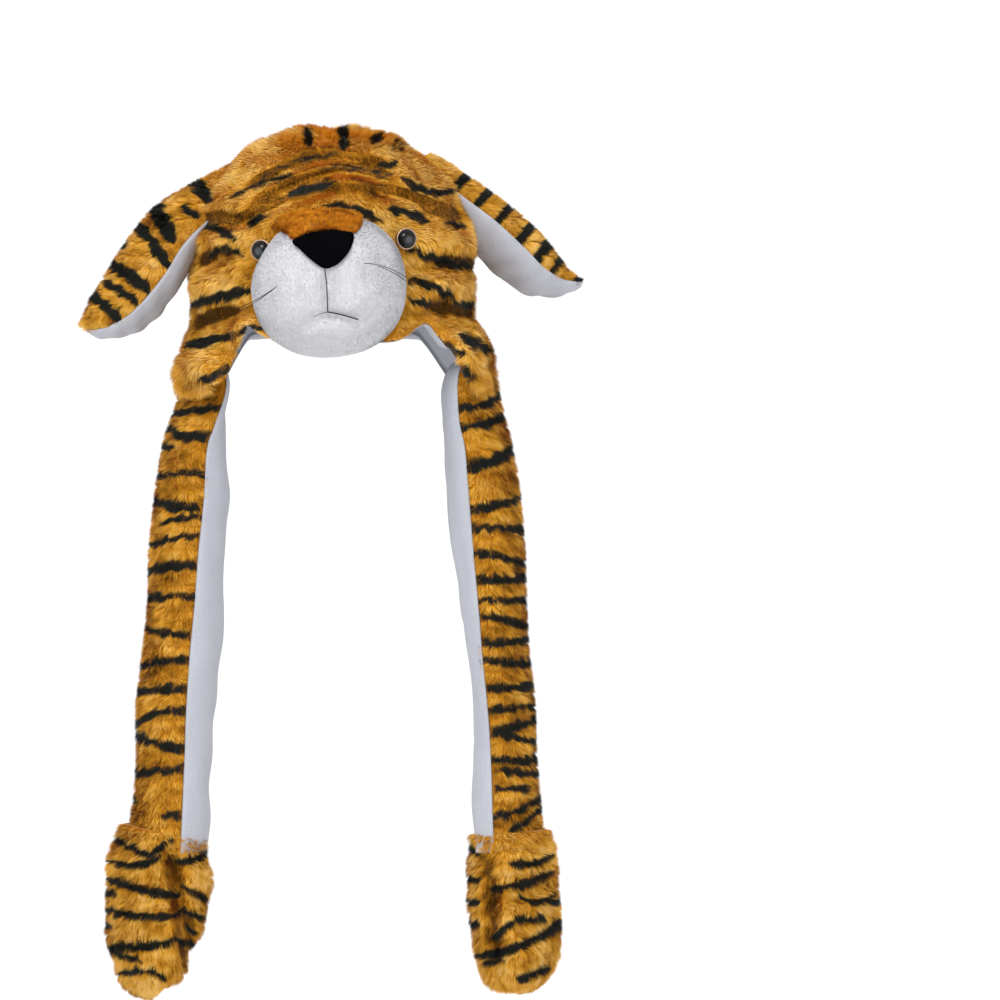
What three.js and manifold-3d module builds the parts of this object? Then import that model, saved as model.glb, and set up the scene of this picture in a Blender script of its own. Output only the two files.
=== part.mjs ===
// A plush tiger hat: a padded fur crown with a stuffed white muzzle, two long floppy ears, and two
// stuffed side flaps that hang to a pair of mitten paws. Millimetres, +Z up, the face looks along -Y,
// and the origin is the inside top of the crown's lining, where the head carries the hat.
import * as THREE from "three";
import Module from "manifold-3d";
import { mergeVertices } from "three/addons/utils/BufferGeometryUtils.js";

const wasm = await Module();
wasm.setup();

// Cloth and clearances
const GAP = 0.35;
const CUFF_GAP = 0.8;
const LINING_WALL = 2;
const SHELL_WALL = 11.3;
const CROWN_TOP = LINING_WALL + GAP + SHELL_WALL;

// Crown: an elliptical dome on a nearly upright wall
const CROWN_HALF_WIDTH = 101;
const CROWN_HALF_DEPTH = 106;
const DOME_HEIGHT = 82;
const EQUATOR_Z = CROWN_TOP - DOME_HEIGHT;
// The share of the rows from top to rim that lies on the dome; the rest is the wall
const DOME_SHARE = 0.64;
const CROWN_COLUMNS = 64;
const CROWN_ROWS = 19;
const INNER_COLUMNS = 32;
const INNER_ROWS = 7;
const FRONT_CROWDING = 0.35;

// The rim's height round the head: azimuth 0 is the face, positive towards +X
const RIM = [
  { azimuth: -180, z: -137 },
  { azimuth: -140, z: -141 },
  { azimuth: -126, z: -166 },
  { azimuth: -90, z: -170 },
  { azimuth: -50, z: -169 },
  { azimuth: -44, z: -165 },
  { azimuth: -36, z: -140 },
  { azimuth: 0, z: -138 },
  { azimuth: 32, z: -133 },
  { azimuth: 45, z: -138 },
  { azimuth: 57, z: -163 },
  { azimuth: 66, z: -169 },
  { azimuth: 90, z: -170 },
  { azimuth: 126, z: -166 },
  { azimuth: 140, z: -141 },
  { azimuth: 180, z: -137 },
];

const LOWEST_RIM = Math.min(...RIM.map((row) => row.z));

// How far each ear flap leans out of the wall at its lower edge
const FLARE = { left: 9, right: 14, from: -116, to: -166 };

// Folds and puffs of the face, seen from the front: raised where height is positive.
// curve is how far the middle stands above the ends.
const FOLDS = [
  { x: -23, z: -12, halfLength: 30, halfWidth: 6, tilt: 16, curve: 4, height: -7 },
  { x: -6, z: -24, halfLength: 46, halfWidth: 6, tilt: 2, curve: 7, height: -8 },
  { x: -12, z: -34, halfLength: 12, halfWidth: 5, tilt: 29, curve: 0, height: -3 },
  { x: 39, z: -14, halfLength: 10, halfWidth: 5, tilt: 0, curve: 2, height: -5 },
  { x: 37, z: -3, halfLength: 13, halfWidth: 8, tilt: -10, curve: 2, height: 4 },
  { x: -13, z: -17, halfLength: 28, halfWidth: 5, tilt: 9, curve: 4, height: 3 },
  { x: -38, z: 2, halfLength: 33, halfWidth: 10, tilt: 20, curve: 3, height: 3 },
  { x: 12, z: -35, halfLength: 35, halfWidth: 10, tilt: -4, curve: 5, height: 6 },
  { x: -82, z: -54, halfLength: 16, halfWidth: 6, tilt: 10, curve: 2, height: -5 },
  { x: -70, z: -66, halfLength: 17, halfWidth: 8, tilt: 24, curve: 2, height: 5 },
  { x: -80, z: -79, halfLength: 15, halfWidth: 6, tilt: 30, curve: 3, height: -6 },
  { x: -83, z: -99, halfLength: 18, halfWidth: 13, tilt: 14, curve: 2, height: 5 },
  { x: -80, z: -121, halfLength: 20, halfWidth: 6, tilt: 18, curve: 3, height: -5 },
  { x: -55, z: -131, halfLength: 15, halfWidth: 8, tilt: -8, curve: 2, height: 6 },
  { x: -93, z: -153, halfLength: 15, halfWidth: 12, tilt: 20, curve: 0, height: 5 },
  { x: 77, z: -49, halfLength: 18, halfWidth: 7, tilt: -24, curve: 2, height: -5 },
  { x: 83, z: -66, halfLength: 18, halfWidth: 10, tilt: -16, curve: 2, height: 5 },
  { x: 87, z: -84, halfLength: 17, halfWidth: 6, tilt: -10, curve: 2, height: -5 },
  { x: 82, z: -99, halfLength: 17, halfWidth: 10, tilt: -12, curve: 2, height: 4 },
  { x: 83, z: -117, halfLength: 20, halfWidth: 6, tilt: -16, curve: 2, height: -4 },
  { x: 93, z: -141, halfLength: 17, halfWidth: 13, tilt: -30, curve: 0, height: 5 },
];

// Muzzle: a stuffed dome on the front of the crown, turned a little about the line of sight
const MUZZLE = {
  x: -2,
  z: -98,
  halfWidth: 55,
  halfHeight: 51,
  frontY: -158,
  seatY: -98,
  backY: -70,
  turn: 4,
};
const MUZZLE_FULLNESS = 0.82;
const MUZZLE_SQUARENESS = 2.25;
// How much of its half width the muzzle loses towards the top of its left side
const MUZZLE_TAPER = { share: 0.13, from: 0, to: 42 };
const MUZZLE_COLUMNS = 32;
const MUZZLE_ROWS = 8;
const MUZZLE_DENTS = [
  { x: 0, z: -5, halfLength: 17, halfWidth: 6, tilt: 90, curve: 0, height: -4 },
  { x: -12, z: -24, halfLength: 15, halfWidth: 5, tilt: 18, curve: 1, height: -3 },
  { x: 12, z: -24, halfLength: 15, halfWidth: 5, tilt: -18, curve: 1, height: -3 },
  { x: 0, z: -38, halfLength: 25, halfWidth: 12, tilt: 0, curve: 0, height: 3 },
];

// Nose and bridge: padded patches on the muzzle, outlined from the front about its centre
const NOSE_THICKNESS = 4;
const BRIDGE_THICKNESS = 3;
const NOSE_OUTLINE = [
  [-22.5, 33], [-11.7, 37.5], [0, 38.7], [11.7, 37.8], [20.2, 34.8],
  [17.5, 25], [10.8, 17], [3.3, 12.8], [-2.5, 12.8], [-10, 18.7], [-17.5, 26.7],
];
const BRIDGE_OUTLINE = [
  [-23.3, 33.5], [-11.7, 38], [0, 39.2], [11.7, 38.3], [21, 35.3],
  [27, 41.7], [27, 56], [-33, 56], [-36, 43], [-29, 38.5],
];

// Eyes: domed buttons beside the muzzle
const EYE_RADIUS = 7.2;
const EYE_DOME = 4.6;
const EYE_RIM = 1.6;
const EYE_SEGMENTS = 16;
// How far a button stands out of the crown, and how much it turns from the crown's side to the front
const EYE_SEAT = 2.5;
const EYE_LOOK_AHEAD = 0.6;
const EYES = [
  { name: "eye_left", azimuth: -29.5, z: -73.5 },
  { name: "eye_right", azimuth: 30, z: -65.5 },
];

// Ears: a spine from inside the crown's shoulder to the tip. halfWidth runs across the ear from its
// front edge to its back edge, and turn swings the front edge down, which shows the fur to the front.
const EAR_LEFT = [
  { x: -50, y: 3, z: -21, halfWidth: 23, halfThickness: 13, turn: 14 },
  { x: -72, y: 2, z: -31, halfWidth: 27, halfThickness: 16, turn: 14 },
  { x: -94, y: -2, z: -46, halfWidth: 31, halfThickness: 19, turn: 15 },
  { x: -113, y: -3, z: -64, halfWidth: 33, halfThickness: 23, turn: 15 },
  { x: -128, y: -3, z: -87, halfWidth: 33, halfThickness: 25, turn: 15 },
  { x: -145, y: -2, z: -109, halfWidth: 27, halfThickness: 23, turn: 15 },
  { x: -161, y: 0, z: -121, halfWidth: 18, halfThickness: 17, turn: 18 },
  { x: -174, y: 2, z: -127, halfWidth: 6, halfThickness: 6, turn: 20 },
];
const EAR_RIGHT = [
  { x: 50, y: 7, z: -12, halfWidth: 23, halfThickness: 13, turn: -8 },
  { x: 70, y: 9, z: -24, halfWidth: 27, halfThickness: 16, turn: -10 },
  { x: 89, y: 13, z: -40, halfWidth: 30, halfThickness: 18, turn: -13 },
  { x: 108, y: 20, z: -56, halfWidth: 32, halfThickness: 20, turn: -15 },
  { x: 126, y: 27, z: -73, halfWidth: 31, halfThickness: 21, turn: -16 },
  { x: 142, y: 34, z: -87, halfWidth: 25, halfThickness: 19, turn: -14 },
  { x: 158, y: 40, z: -95, halfWidth: 16, halfThickness: 12, turn: -10 },
  { x: 173, y: 45, z: -97, halfWidth: 6, halfThickness: 3, turn: -6 },
];
const EAR_RINGS = 11;
const EAR_SEAM_LIP = 7;

// Flaps: from the ear flap's lower edge to the paw. turn swings the front seam inwards, and bow
// bends the section round the head.
const FLAP_LEFT = [
  { x: -92, y: 0, z: -165, halfWidth: 44, halfThickness: 14, turn: 8, bow: 12 },
  { x: -95, y: 0, z: -191, halfWidth: 39, halfThickness: 18, turn: 9, bow: 6 },
  { x: -98, y: 0, z: -212, halfWidth: 36, halfThickness: 22, turn: 11, bow: 1 },
  { x: -100, y: 0, z: -249, halfWidth: 33, halfThickness: 26, turn: 12, bow: 0 },
  { x: -103, y: 0, z: -287, halfWidth: 33, halfThickness: 27, turn: 10, bow: 0 },
  { x: -104, y: 0, z: -323, halfWidth: 33, halfThickness: 27, turn: 7, bow: 0 },
  { x: -107, y: 0, z: -358, halfWidth: 34, halfThickness: 28, turn: 6, bow: 0 },
  { x: -111, y: 0, z: -394, halfWidth: 34, halfThickness: 28, turn: 9, bow: 0 },
  { x: -112, y: 0, z: -429, halfWidth: 33, halfThickness: 27, turn: 9, bow: 0 },
  { x: -114, y: 0, z: -461, halfWidth: 34, halfThickness: 27, turn: 10, bow: 0 },
  { x: -118, y: 0, z: -494, halfWidth: 35, halfThickness: 28, turn: 14, bow: 0 },
];
const FLAP_RIGHT = [
  { x: 97, y: 0, z: -165, halfWidth: 44, halfThickness: 16, turn: 6, bow: 10 },
  { x: 100, y: 0, z: -191, halfWidth: 39, halfThickness: 21, turn: 8, bow: 5 },
  { x: 102, y: 0, z: -212, halfWidth: 36, halfThickness: 24, turn: 9, bow: 1 },
  { x: 106, y: 0, z: -249, halfWidth: 33, halfThickness: 26, turn: 13, bow: 0 },
  { x: 110, y: 0, z: -287, halfWidth: 33, halfThickness: 25, turn: 15, bow: 0 },
  { x: 113, y: 0, z: -323, halfWidth: 33, halfThickness: 23, turn: 15, bow: 0 },
  { x: 117, y: 0, z: -358, halfWidth: 33, halfThickness: 20, turn: 18, bow: 0 },
  { x: 121, y: 0, z: -394, halfWidth: 33, halfThickness: 20, turn: 19, bow: 0 },
  { x: 121, y: 0, z: -429, halfWidth: 33, halfThickness: 22, turn: 14, bow: 0 },
  { x: 122, y: 0, z: -461, halfWidth: 34, halfThickness: 24, turn: 13, bow: 0 },
  { x: 124, y: 0, z: -494, halfWidth: 35, halfThickness: 25, turn: 14, bow: 0 },
];
const FLAP_RINGS = 14;
const FLAP_SEAM_LIP = 8;

// Paws: stuffed mittens, fur on both faces, closed over the flap's end
const PAW_LEFT = [
  { x: -119, y: 0, z: -485, halfWidth: 39, halfThickness: 32, turn: 14 },
  { x: -122, y: 0, z: -501, halfWidth: 44, halfThickness: 36, turn: 14 },
  { x: -123, y: 0, z: -524, halfWidth: 47, halfThickness: 37, turn: 14 },
  { x: -125, y: 0, z: -549, halfWidth: 48, halfThickness: 35, turn: 14 },
  { x: -128, y: 0, z: -569, halfWidth: 43, halfThickness: 30, turn: 16 },
  { x: -131, y: 0, z: -584, halfWidth: 33, halfThickness: 20, turn: 16 },
  { x: -130, y: 0, z: -593, halfWidth: 18, halfThickness: 10, turn: 16 },
  { x: -129, y: 0, z: -597, halfWidth: 4, halfThickness: 2, turn: 16 },
];
const PAW_RIGHT = [
  { x: 124, y: 0, z: -485, halfWidth: 39, halfThickness: 29, turn: 14 },
  { x: 125, y: 0, z: -503, halfWidth: 43, halfThickness: 32, turn: 13 },
  { x: 127, y: 0, z: -531, halfWidth: 47, halfThickness: 33, turn: 12 },
  { x: 129, y: 0, z: -557, halfWidth: 47, halfThickness: 31, turn: 12 },
  { x: 129, y: 0, z: -574, halfWidth: 42, halfThickness: 27, turn: 12 },
  { x: 129, y: 0, z: -586, halfWidth: 32, halfThickness: 21, turn: 12 },
  { x: 129, y: 0, z: -593, halfWidth: 18, halfThickness: 12, turn: 12 },
  { x: 129, y: 0, z: -597, halfWidth: 4, halfThickness: 2, turn: 12 },
];
const PAW_RINGS = 9;

// Steps round each side of a limb's section, and the degrees that its recess is wider than its panel
const SECTION_STEPS = 9;
const SEAM_SLACK = 1.1;
const FRONT = new THREE.Vector3(0, -1, 0);

const COLOURS = {
  fur: new THREE.MeshStandardMaterial({ color: 0xc9822b, roughness: 0.95, metalness: 0 }),
  lining: new THREE.MeshStandardMaterial({ color: 0xd9d9e2, roughness: 0.95, metalness: 0 }),
  plush: new THREE.MeshStandardMaterial({ color: 0xe6e6ec, roughness: 0.95, metalness: 0 }),
  bridge: new THREE.MeshStandardMaterial({ color: 0xc06a22, roughness: 0.95, metalness: 0 }),
  nose: new THREE.MeshStandardMaterial({ color: 0x0c0c0e, roughness: 0.9, metalness: 0 }),
  eye: new THREE.MeshStandardMaterial({ color: 0x1a1412, roughness: 0.12, metalness: 0 }),
};

const radians = THREE.MathUtils.degToRad;

function smoothstep(from, to, value) {
  const t = Math.min(1, Math.max(0, (value - from) / (to - from)));
  return t * t * (3 - 2 * t);
}

// A column of a table at a fractional row, on a Catmull-Rom curve through the rows.
function columnAt(rows, column, row) {
  const last = rows.length - 1;
  const i = Math.min(last - 1, Math.floor(row));
  const t = row - i;
  const [a, b, c, d] = [i - 1, i, i + 1, i + 2].map(
    (k) => rows[Math.min(last, Math.max(0, k))][column],
  );
  return b + 0.5 * t * (c - a + t * (2 * a - 5 * b + 4 * c - d + t * (3 * (b - c) + d - a)));
}

// The rim's height at an azimuth in degrees, eased between the rows.
function rimAt(azimuth) {
  const turn = THREE.MathUtils.euclideanModulo(azimuth + 180, 360) - 180;
  const i = Math.max(1, RIM.findIndex((row) => row.azimuth >= turn));
  const [a, b] = [RIM[i - 1], RIM[i]];
  return a.z + (b.z - a.z) * smoothstep(a.azimuth, b.azimuth, turn);
}

// Height of a table of folds at a point of the front view: each row is a soft bar, bent by its curve.
function foldHeight(folds, x, z) {
  return folds.reduce((sum, fold) => {
    const [c, s] = [Math.cos(radians(fold.tilt)), Math.sin(radians(fold.tilt))];
    const along = ((x - fold.x) * c + (z - fold.z) * s) / fold.halfLength;
    const bend = fold.curve * (1 - along * along);
    const across = (-(x - fold.x) * s + (z - fold.z) * c - bend) / fold.halfWidth;
    return sum + fold.height * Math.exp(-(along ** 4)) * Math.exp(-across * across);
  }, 0);
}

// A closed solid from points and triangles, turned right side out.
function solidOf(points, triangles) {
  const vertProperties = new Float32Array(points.flatMap((p) => [p.x, p.y, p.z]));
  const build = (corners) => {
    const triVerts = new Uint32Array(corners.flat());
    return new wasm.Manifold(new wasm.Mesh({ numProp: 3, vertProperties, triVerts }));
  };
  const made = build(triangles);
  return made.volume() > 0 ? made : build(triangles.map(([a, b, c]) => [a, c, b]));
}

// A solid from a three.js geometry, with the vertices that it shares merged.
function solidOfGeometry(geometry) {
  const bare = geometry.clone();
  bare.deleteAttribute("normal");
  bare.deleteAttribute("uv");
  const merged = mergeVertices(bare, 1e-4);
  const mesh = new wasm.Mesh({
    numProp: 3,
    vertProperties: new Float32Array(merged.attributes.position.array),
    triVerts: new Uint32Array(merged.index.array),
  });
  return new wasm.Manifold(mesh);
}

function meshOf(name, solid, material) {
  const { vertProperties, triVerts, numProp } = solid.getMesh();
  const position = new Float32Array((vertProperties.length / numProp) * 3);
  for (let i = 0; i < position.length / 3; i++) {
    position.set(vertProperties.subarray(i * numProp, i * numProp + 3), i * 3);
  }
  const geometry = new THREE.BufferGeometry();
  geometry.setAttribute("position", new THREE.BufferAttribute(position, 3));
  geometry.setIndex(new THREE.BufferAttribute(new Uint32Array(triVerts), 1));
  geometry.computeVertexNormals();
  const mesh = new THREE.Mesh(geometry, material);
  mesh.name = name;
  return mesh;
}

// Triangles between two closed rings that may differ in count: each step moves on along the ring
// that lies behind.
function stitch(ringA, ringB) {
  const triangles = [];
  let [i, j] = [0, 0];
  while (i < ringA.length || j < ringB.length) {
    const a = ringA[i % ringA.length];
    const b = ringB[j % ringB.length];
    if (j >= ringB.length || (i < ringA.length && (i + 1) / ringA.length <= (j + 1) / ringB.length)) {
      i += 1;
      triangles.push([a, ringA[i % ringA.length], b]);
    } else {
      j += 1;
      triangles.push([b, a, ringB[j % ringB.length]]);
    }
  }
  return triangles;
}

// One point of the crown: down is 0 at the top and 1 at the rim, and inset is the depth below the fur.
function crownPoint(azimuth, down, inset) {
  const rim = rimAt(azimuth) + Math.min(0, inset);
  const a = radians(azimuth);
  const polar = Math.min(1, down / DOME_SHARE) * (Math.PI / 2);
  const wall = Math.max(0, (down - DOME_SHARE) / (1 - DOME_SHARE));
  const ring = Math.sin(polar);
  const point = new THREE.Vector3(
    CROWN_HALF_WIDTH * ring * Math.sin(a),
    -CROWN_HALF_DEPTH * ring * Math.cos(a),
    wall > 0 ? EQUATOR_Z + wall * (rim - EQUATOR_Z) : EQUATOR_Z + DOME_HEIGHT * Math.cos(polar),
  );
  const normal = new THREE.Vector3(
    (ring * Math.sin(a)) / CROWN_HALF_WIDTH,
    (-ring * Math.cos(a)) / CROWN_HALF_DEPTH,
    wall > 0 ? 0 : Math.cos(polar) / DOME_HEIGHT,
  ).normalize();
  const side = Math.sin(a) < 0 ? FLARE.left : FLARE.right;
  const lean = side * smoothstep(0.35, 0.85, Math.abs(Math.sin(a)));
  const flare = lean * smoothstep(FLARE.from, FLARE.to, point.z);
  const facing = smoothstep(25, -30, point.y);
  const relief = inset > 0 ? 0 : facing * foldHeight(FOLDS, point.x, point.z);
  return point.addScaledVector(normal, flare + relief - inset);
}

// Azimuths of a ring's columns, closer together at the face.
function azimuths(columns) {
  return Array.from({ length: columns }, (_, k) => {
    const turn = (k / columns) * 2 * Math.PI;
    return THREE.MathUtils.radToDeg(turn - FRONT_CROWDING * Math.sin(turn));
  });
}

// Adds one layer of the crown to points, and returns its rings from the first below the top to the rim.
function crownLayer(points, inset, columns, rows) {
  const place = (azimuth, down) => points.push(crownPoint(azimuth, down, inset)) - 1;
  const rings = [[place(0, 0)]];
  for (let r = 1; r <= rows; r++) {
    rings.push(azimuths(columns).map((azimuth) => place(azimuth, r / rows)));
  }
  return rings;
}

function layerTriangles(rings) {
  const [[top], first] = rings;
  const triangles = first.map((p, k) => [top, first[(k + 1) % first.length], p]);
  for (let r = 1; r < rings.length - 1; r++) triangles.push(...stitch(rings[r], rings[r + 1]));
  return triangles;
}

// A dome-shaped wall between two depths below the fur.
function crownWall(outer, inner) {
  const points = [];
  const outerRings = crownLayer(points, outer.inset, outer.columns, outer.rows);
  const innerRings = crownLayer(points, inner.inset, inner.columns, inner.rows);
  const flip = ([a, b, c]) => [a, c, b];
  return orientedSolid(points, [
    layerTriangles(outerRings),
    layerTriangles(innerRings).map(flip),
    stitch(outerRings.at(-1), innerRings.at(-1)),
  ]);
}

// The crown's whole bulk, grown by lift and closed below the rim by a cone down to bottom: what a
// neighbour is cut by.
function crownBulk(lift, bottom) {
  const points = [];
  const rings = crownLayer(points, -lift, CROWN_COLUMNS, CROWN_ROWS);
  const middle = points.push(new THREE.Vector3(0, 0, bottom)) - 1;
  const rim = rings.at(-1);
  const cap = rim.map((p, k) => [p, rim[(k + 1) % rim.length], middle]);
  return orientedSolid(points, [layerTriangles(rings), cap]);
}

// Joins patches of triangles whose windings may differ, by turning each to match what is placed.
function orientedSolid(points, patches) {
  const placed = new Set();
  const all = [];
  const edges = ([a, b, c]) => [`${a},${b}`, `${b},${c}`, `${c},${a}`];
  patches.forEach((patch) => {
    const clash = patch.some((t) => edges(t).some((e) => placed.has(e)));
    const turned = clash ? patch.map(([a, b, c]) => [a, c, b]) : patch;
    turned.forEach((t) => edges(t).forEach((e) => placed.add(e)));
    all.push(...turned);
  });
  return solidOf(points, all);
}

// The place and axes of a soft limb's section at a fractional row: across runs to the front seam,
// and out is the side that carries the fur.
function sectionAt(rows, row, outward) {
  const at = (column) => (column in rows[0] ? columnAt(rows, column, row) : 0);
  const place = (r) => new THREE.Vector3(...["x", "y", "z"].map((c) => columnAt(rows, c, r)));
  const step = 0.05;
  const ahead = place(Math.min(rows.length - 1, row + step));
  const along = ahead.sub(place(Math.max(0, row - step))).normalize();
  const across = FRONT.clone().addScaledVector(along, -FRONT.dot(along)).normalize();
  const out = new THREE.Vector3().crossVectors(along, across).normalize();
  if (out.dot(outward) < 0) out.negate();
  const turn = radians(at("turn"));
  return {
    centre: place(row),
    across: across.clone().multiplyScalar(Math.cos(turn)).addScaledVector(out, -Math.sin(turn)),
    out: out.clone().multiplyScalar(Math.cos(turn)).addScaledVector(across, Math.sin(turn)),
    halfWidth: at("halfWidth"),
    halfThickness: at("halfThickness"),
    bow: at("bow"),
  };
}

// A point of a section at an angle from the front seam, fur side first, set in from the surface.
function sectionPoint(section, angle, inset) {
  const a = radians(angle);
  const width = Math.max(0.6, section.halfWidth - inset);
  const thickness = Math.max(0.4, section.halfThickness - inset);
  const u = width * Math.cos(a);
  const n = thickness * Math.sin(a) - section.bow * Math.cos(a) ** 2;
  return section.centre.clone().addScaledVector(section.across, u).addScaledVector(section.out, n);
}

// A list of { angle, inset } round a section.
function arc(from, to, steps, inset) {
  const angleAt = (k) => from + ((to - from) * k) / steps;
  return Array.from({ length: steps + 1 }, (_, k) => ({ angle: angleAt(k), inset }));
}

// Triangles across a ring, zipped up from the join between its first and last points.
function zip(ring) {
  const triangles = [];
  for (let [i, j] = [0, ring.length - 1]; j - i > 1; i++, j--) {
    triangles.push([ring[i], ring[i + 1], ring[j]]);
    if (j - i > 2) triangles.push([ring[i + 1], ring[j - 1], ring[j]]);
  }
  return triangles;
}

// A solid through a limb's rings, each ring the same outline, with flat ends.
function loft(rows, rings, outline, outward) {
  const points = [];
  const loops = Array.from({ length: rings + 1 }, (_, r) => {
    const section = sectionAt(rows, ((rows.length - 1) * r) / rings, outward);
    return outline.map(({ angle, inset }) => points.push(sectionPoint(section, angle, inset)) - 1);
  });
  const walls = loops.slice(1).flatMap((loop, r) => stitch(loops[r], loop));
  return orientedSolid(points, [walls, zip(loops[0]), zip(loops.at(-1))]);
}

// The outline of a limb's fur body, with a recess for the lining panel on its inner side.
function bodyOutline(lip) {
  const edge = lip - SEAM_SLACK;
  const recess = LINING_WALL + GAP;
  return [
    ...arc(0, 180, SECTION_STEPS, 0),
    { angle: 180 + edge, inset: 0 },
    ...arc(180 + edge, 360 - edge, SECTION_STEPS, recess),
    { angle: 360 - edge, inset: 0 },
  ];
}

// The outline of a limb that has fur all round.
function wholeOutline(inset) {
  const sides = 2 * SECTION_STEPS;
  return arc(0, 360 - 360 / sides, sides - 1, inset);
}

function panelOutline(lip) {
  return [
    ...arc(180 + lip, 360 - lip, SECTION_STEPS, LINING_WALL),
    ...arc(360 - lip, 180 + lip, SECTION_STEPS, 0),
  ];
}

// The muzzle's form: round is the angle about the line of sight, reach is 0 at the front pole and 1
// at the outline, and beyond 1 the side runs straight back.
function muzzlePoint(round, reach, lift) {
  const swell = Math.min(1, reach) * (Math.PI / 2);
  const ring = Math.sin(swell) ** MUZZLE_FULLNESS;
  const nose = Math.cos(swell) ** MUZZLE_FULLNESS;
  const [c, s] = [Math.cos(round), Math.sin(round)];
  const spread = Math.abs(c) ** MUZZLE_SQUARENESS + Math.abs(s) ** MUZZLE_SQUARENESS;
  const corner = spread ** (-1 / MUZZLE_SQUARENESS);
  const z = (MUZZLE.halfHeight + lift) * ring * corner * s;
  const taper = c < 0 ? MUZZLE_TAPER.share * smoothstep(MUZZLE_TAPER.from, MUZZLE_TAPER.to, z) : 0;
  const x = (MUZZLE.halfWidth + lift) * ring * corner * c * (1 - taper);
  const front = (MUZZLE.seatY - MUZZLE.frontY + foldHeight(MUZZLE_DENTS, x, z) + lift) * nose;
  const y = reach > 1 ? MUZZLE.backY : MUZZLE.seatY - front;
  return new THREE.Vector3(x, y, z);
}

function muzzleForm(lift) {
  const points = [muzzlePoint(0, 0, lift)];
  const reaches = [...Array.from({ length: MUZZLE_ROWS }, (_, k) => (k + 1) / MUZZLE_ROWS), 2];
  const rings = reaches.map((reach) =>
    Array.from({ length: MUZZLE_COLUMNS }, (_, k) =>
      points.push(muzzlePoint((k / MUZZLE_COLUMNS) * 2 * Math.PI, reach, lift)) - 1,
    ),
  );
  const back = points.push(new THREE.Vector3(0, MUZZLE.backY, 0)) - 1;
  const cap = rings.at(-1).map((p, k, ring) => [p, ring[(k + 1) % ring.length], back]);
  return placeOnFace(orientedSolid(points, [layerTriangles([[0], ...rings]), cap]));
}

// Turns and moves a solid from the muzzle's own centre to its place on the crown.
function placeOnFace(solid) {
  return solid.rotate([0, -MUZZLE.turn, 0]).translate([MUZZLE.x, 0, MUZZLE.z]);
}

// A padded patch of the muzzle's surface: an outline seen from the front, as thick as given.
function muzzlePatch(outline, thickness) {
  const shape = new THREE.Shape(outline.map(([x, z]) => new THREE.Vector2(x, z)));
  const depth = MUZZLE.backY - MUZZLE.frontY + 40;
  const prism = new THREE.ExtrudeGeometry(shape, { depth, bevelEnabled: false });
  prism.rotateX(Math.PI / 2);
  prism.translate(0, MUZZLE.backY, 0);
  return placeOnFace(solidOfGeometry(prism))
    .intersect(muzzleForm(GAP + thickness))
    .subtract(muzzleForm(GAP));
}

// A domed button with a straight rim and a flat back, its axis along +Z.
function eyeSolid(grow) {
  const radius = EYE_RADIUS + grow;
  const profile = [new THREE.Vector2(0, -grow), new THREE.Vector2(radius, -grow)];
  const steps = 4;
  for (let k = 0; k < steps; k++) {
    const a = (k / steps) * (Math.PI / 2);
    profile.push(new THREE.Vector2(radius * Math.cos(a), EYE_RIM + (EYE_DOME + grow) * Math.sin(a)));
  }
  profile.push(new THREE.Vector2(0, EYE_RIM + EYE_DOME + grow));
  const lathe = new THREE.LatheGeometry(profile, EYE_SEGMENTS);
  lathe.rotateX(Math.PI / 2);
  return solidOfGeometry(lathe);
}

// An eye's group: on the crown at its azimuth and height, facing half outwards and half ahead.
function eyeGroup({ azimuth, z }) {
  const a = radians(azimuth);
  const outward = new THREE.Vector3(Math.sin(a) / CROWN_HALF_WIDTH, -Math.cos(a) / CROWN_HALF_DEPTH, 0);
  const facing = outward.normalize().addScaledVector(FRONT, EYE_LOOK_AHEAD).normalize();
  const group = new THREE.Group();
  group.position.set(CROWN_HALF_WIDTH * Math.sin(a), -CROWN_HALF_DEPTH * Math.cos(a), z);
  group.position.addScaledVector(facing, EYE_SEAT);
  group.quaternion.setFromUnitVectors(new THREE.Vector3(0, 0, 1), facing);
  group.updateMatrix();
  return group;
}

const hat = new THREE.Group();

const shell = crownWall(
  { inset: 0, columns: CROWN_COLUMNS, rows: CROWN_ROWS },
  { inset: SHELL_WALL, columns: INNER_COLUMNS, rows: INNER_ROWS },
);
const lining = crownWall(
  { inset: SHELL_WALL + GAP, columns: INNER_COLUMNS, rows: INNER_ROWS },
  { inset: SHELL_WALL + GAP + LINING_WALL, columns: INNER_COLUMNS, rows: INNER_ROWS },
);
hat.add(meshOf("crown_fur", shell, COLOURS.fur));
hat.add(meshOf("crown_lining", lining, COLOURS.lining));

const crownCutter = crownBulk(GAP, LOWEST_RIM);
const faceCutter = crownBulk(GAP, LOWEST_RIM - 40);
const eyeGroups = EYES.map(eyeGroup);
const eyePocket = eyeGroups.map((group) => eyeSolid(GAP).transform(group.matrix.elements));
const muzzle = eyePocket.reduce(
  (solid, pocket) => solid.subtract(pocket),
  muzzleForm(0).subtract(faceCutter),
);
hat.add(meshOf("muzzle", muzzle, COLOURS.plush));
const bridge = muzzlePatch(BRIDGE_OUTLINE, BRIDGE_THICKNESS).subtract(crownCutter);
hat.add(meshOf("muzzle_bridge", bridge, COLOURS.bridge));
hat.add(meshOf("nose", muzzlePatch(NOSE_OUTLINE, NOSE_THICKNESS), COLOURS.nose));

EYES.forEach(({ name }, k) => {
  const group = eyeGroups[k];
  const inverse = group.matrix.clone().invert();
  const button = eyeSolid(0).subtract(crownCutter.transform(inverse.elements));
  group.add(meshOf(name, button, COLOURS.eye));
  hat.add(group);
});

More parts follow.
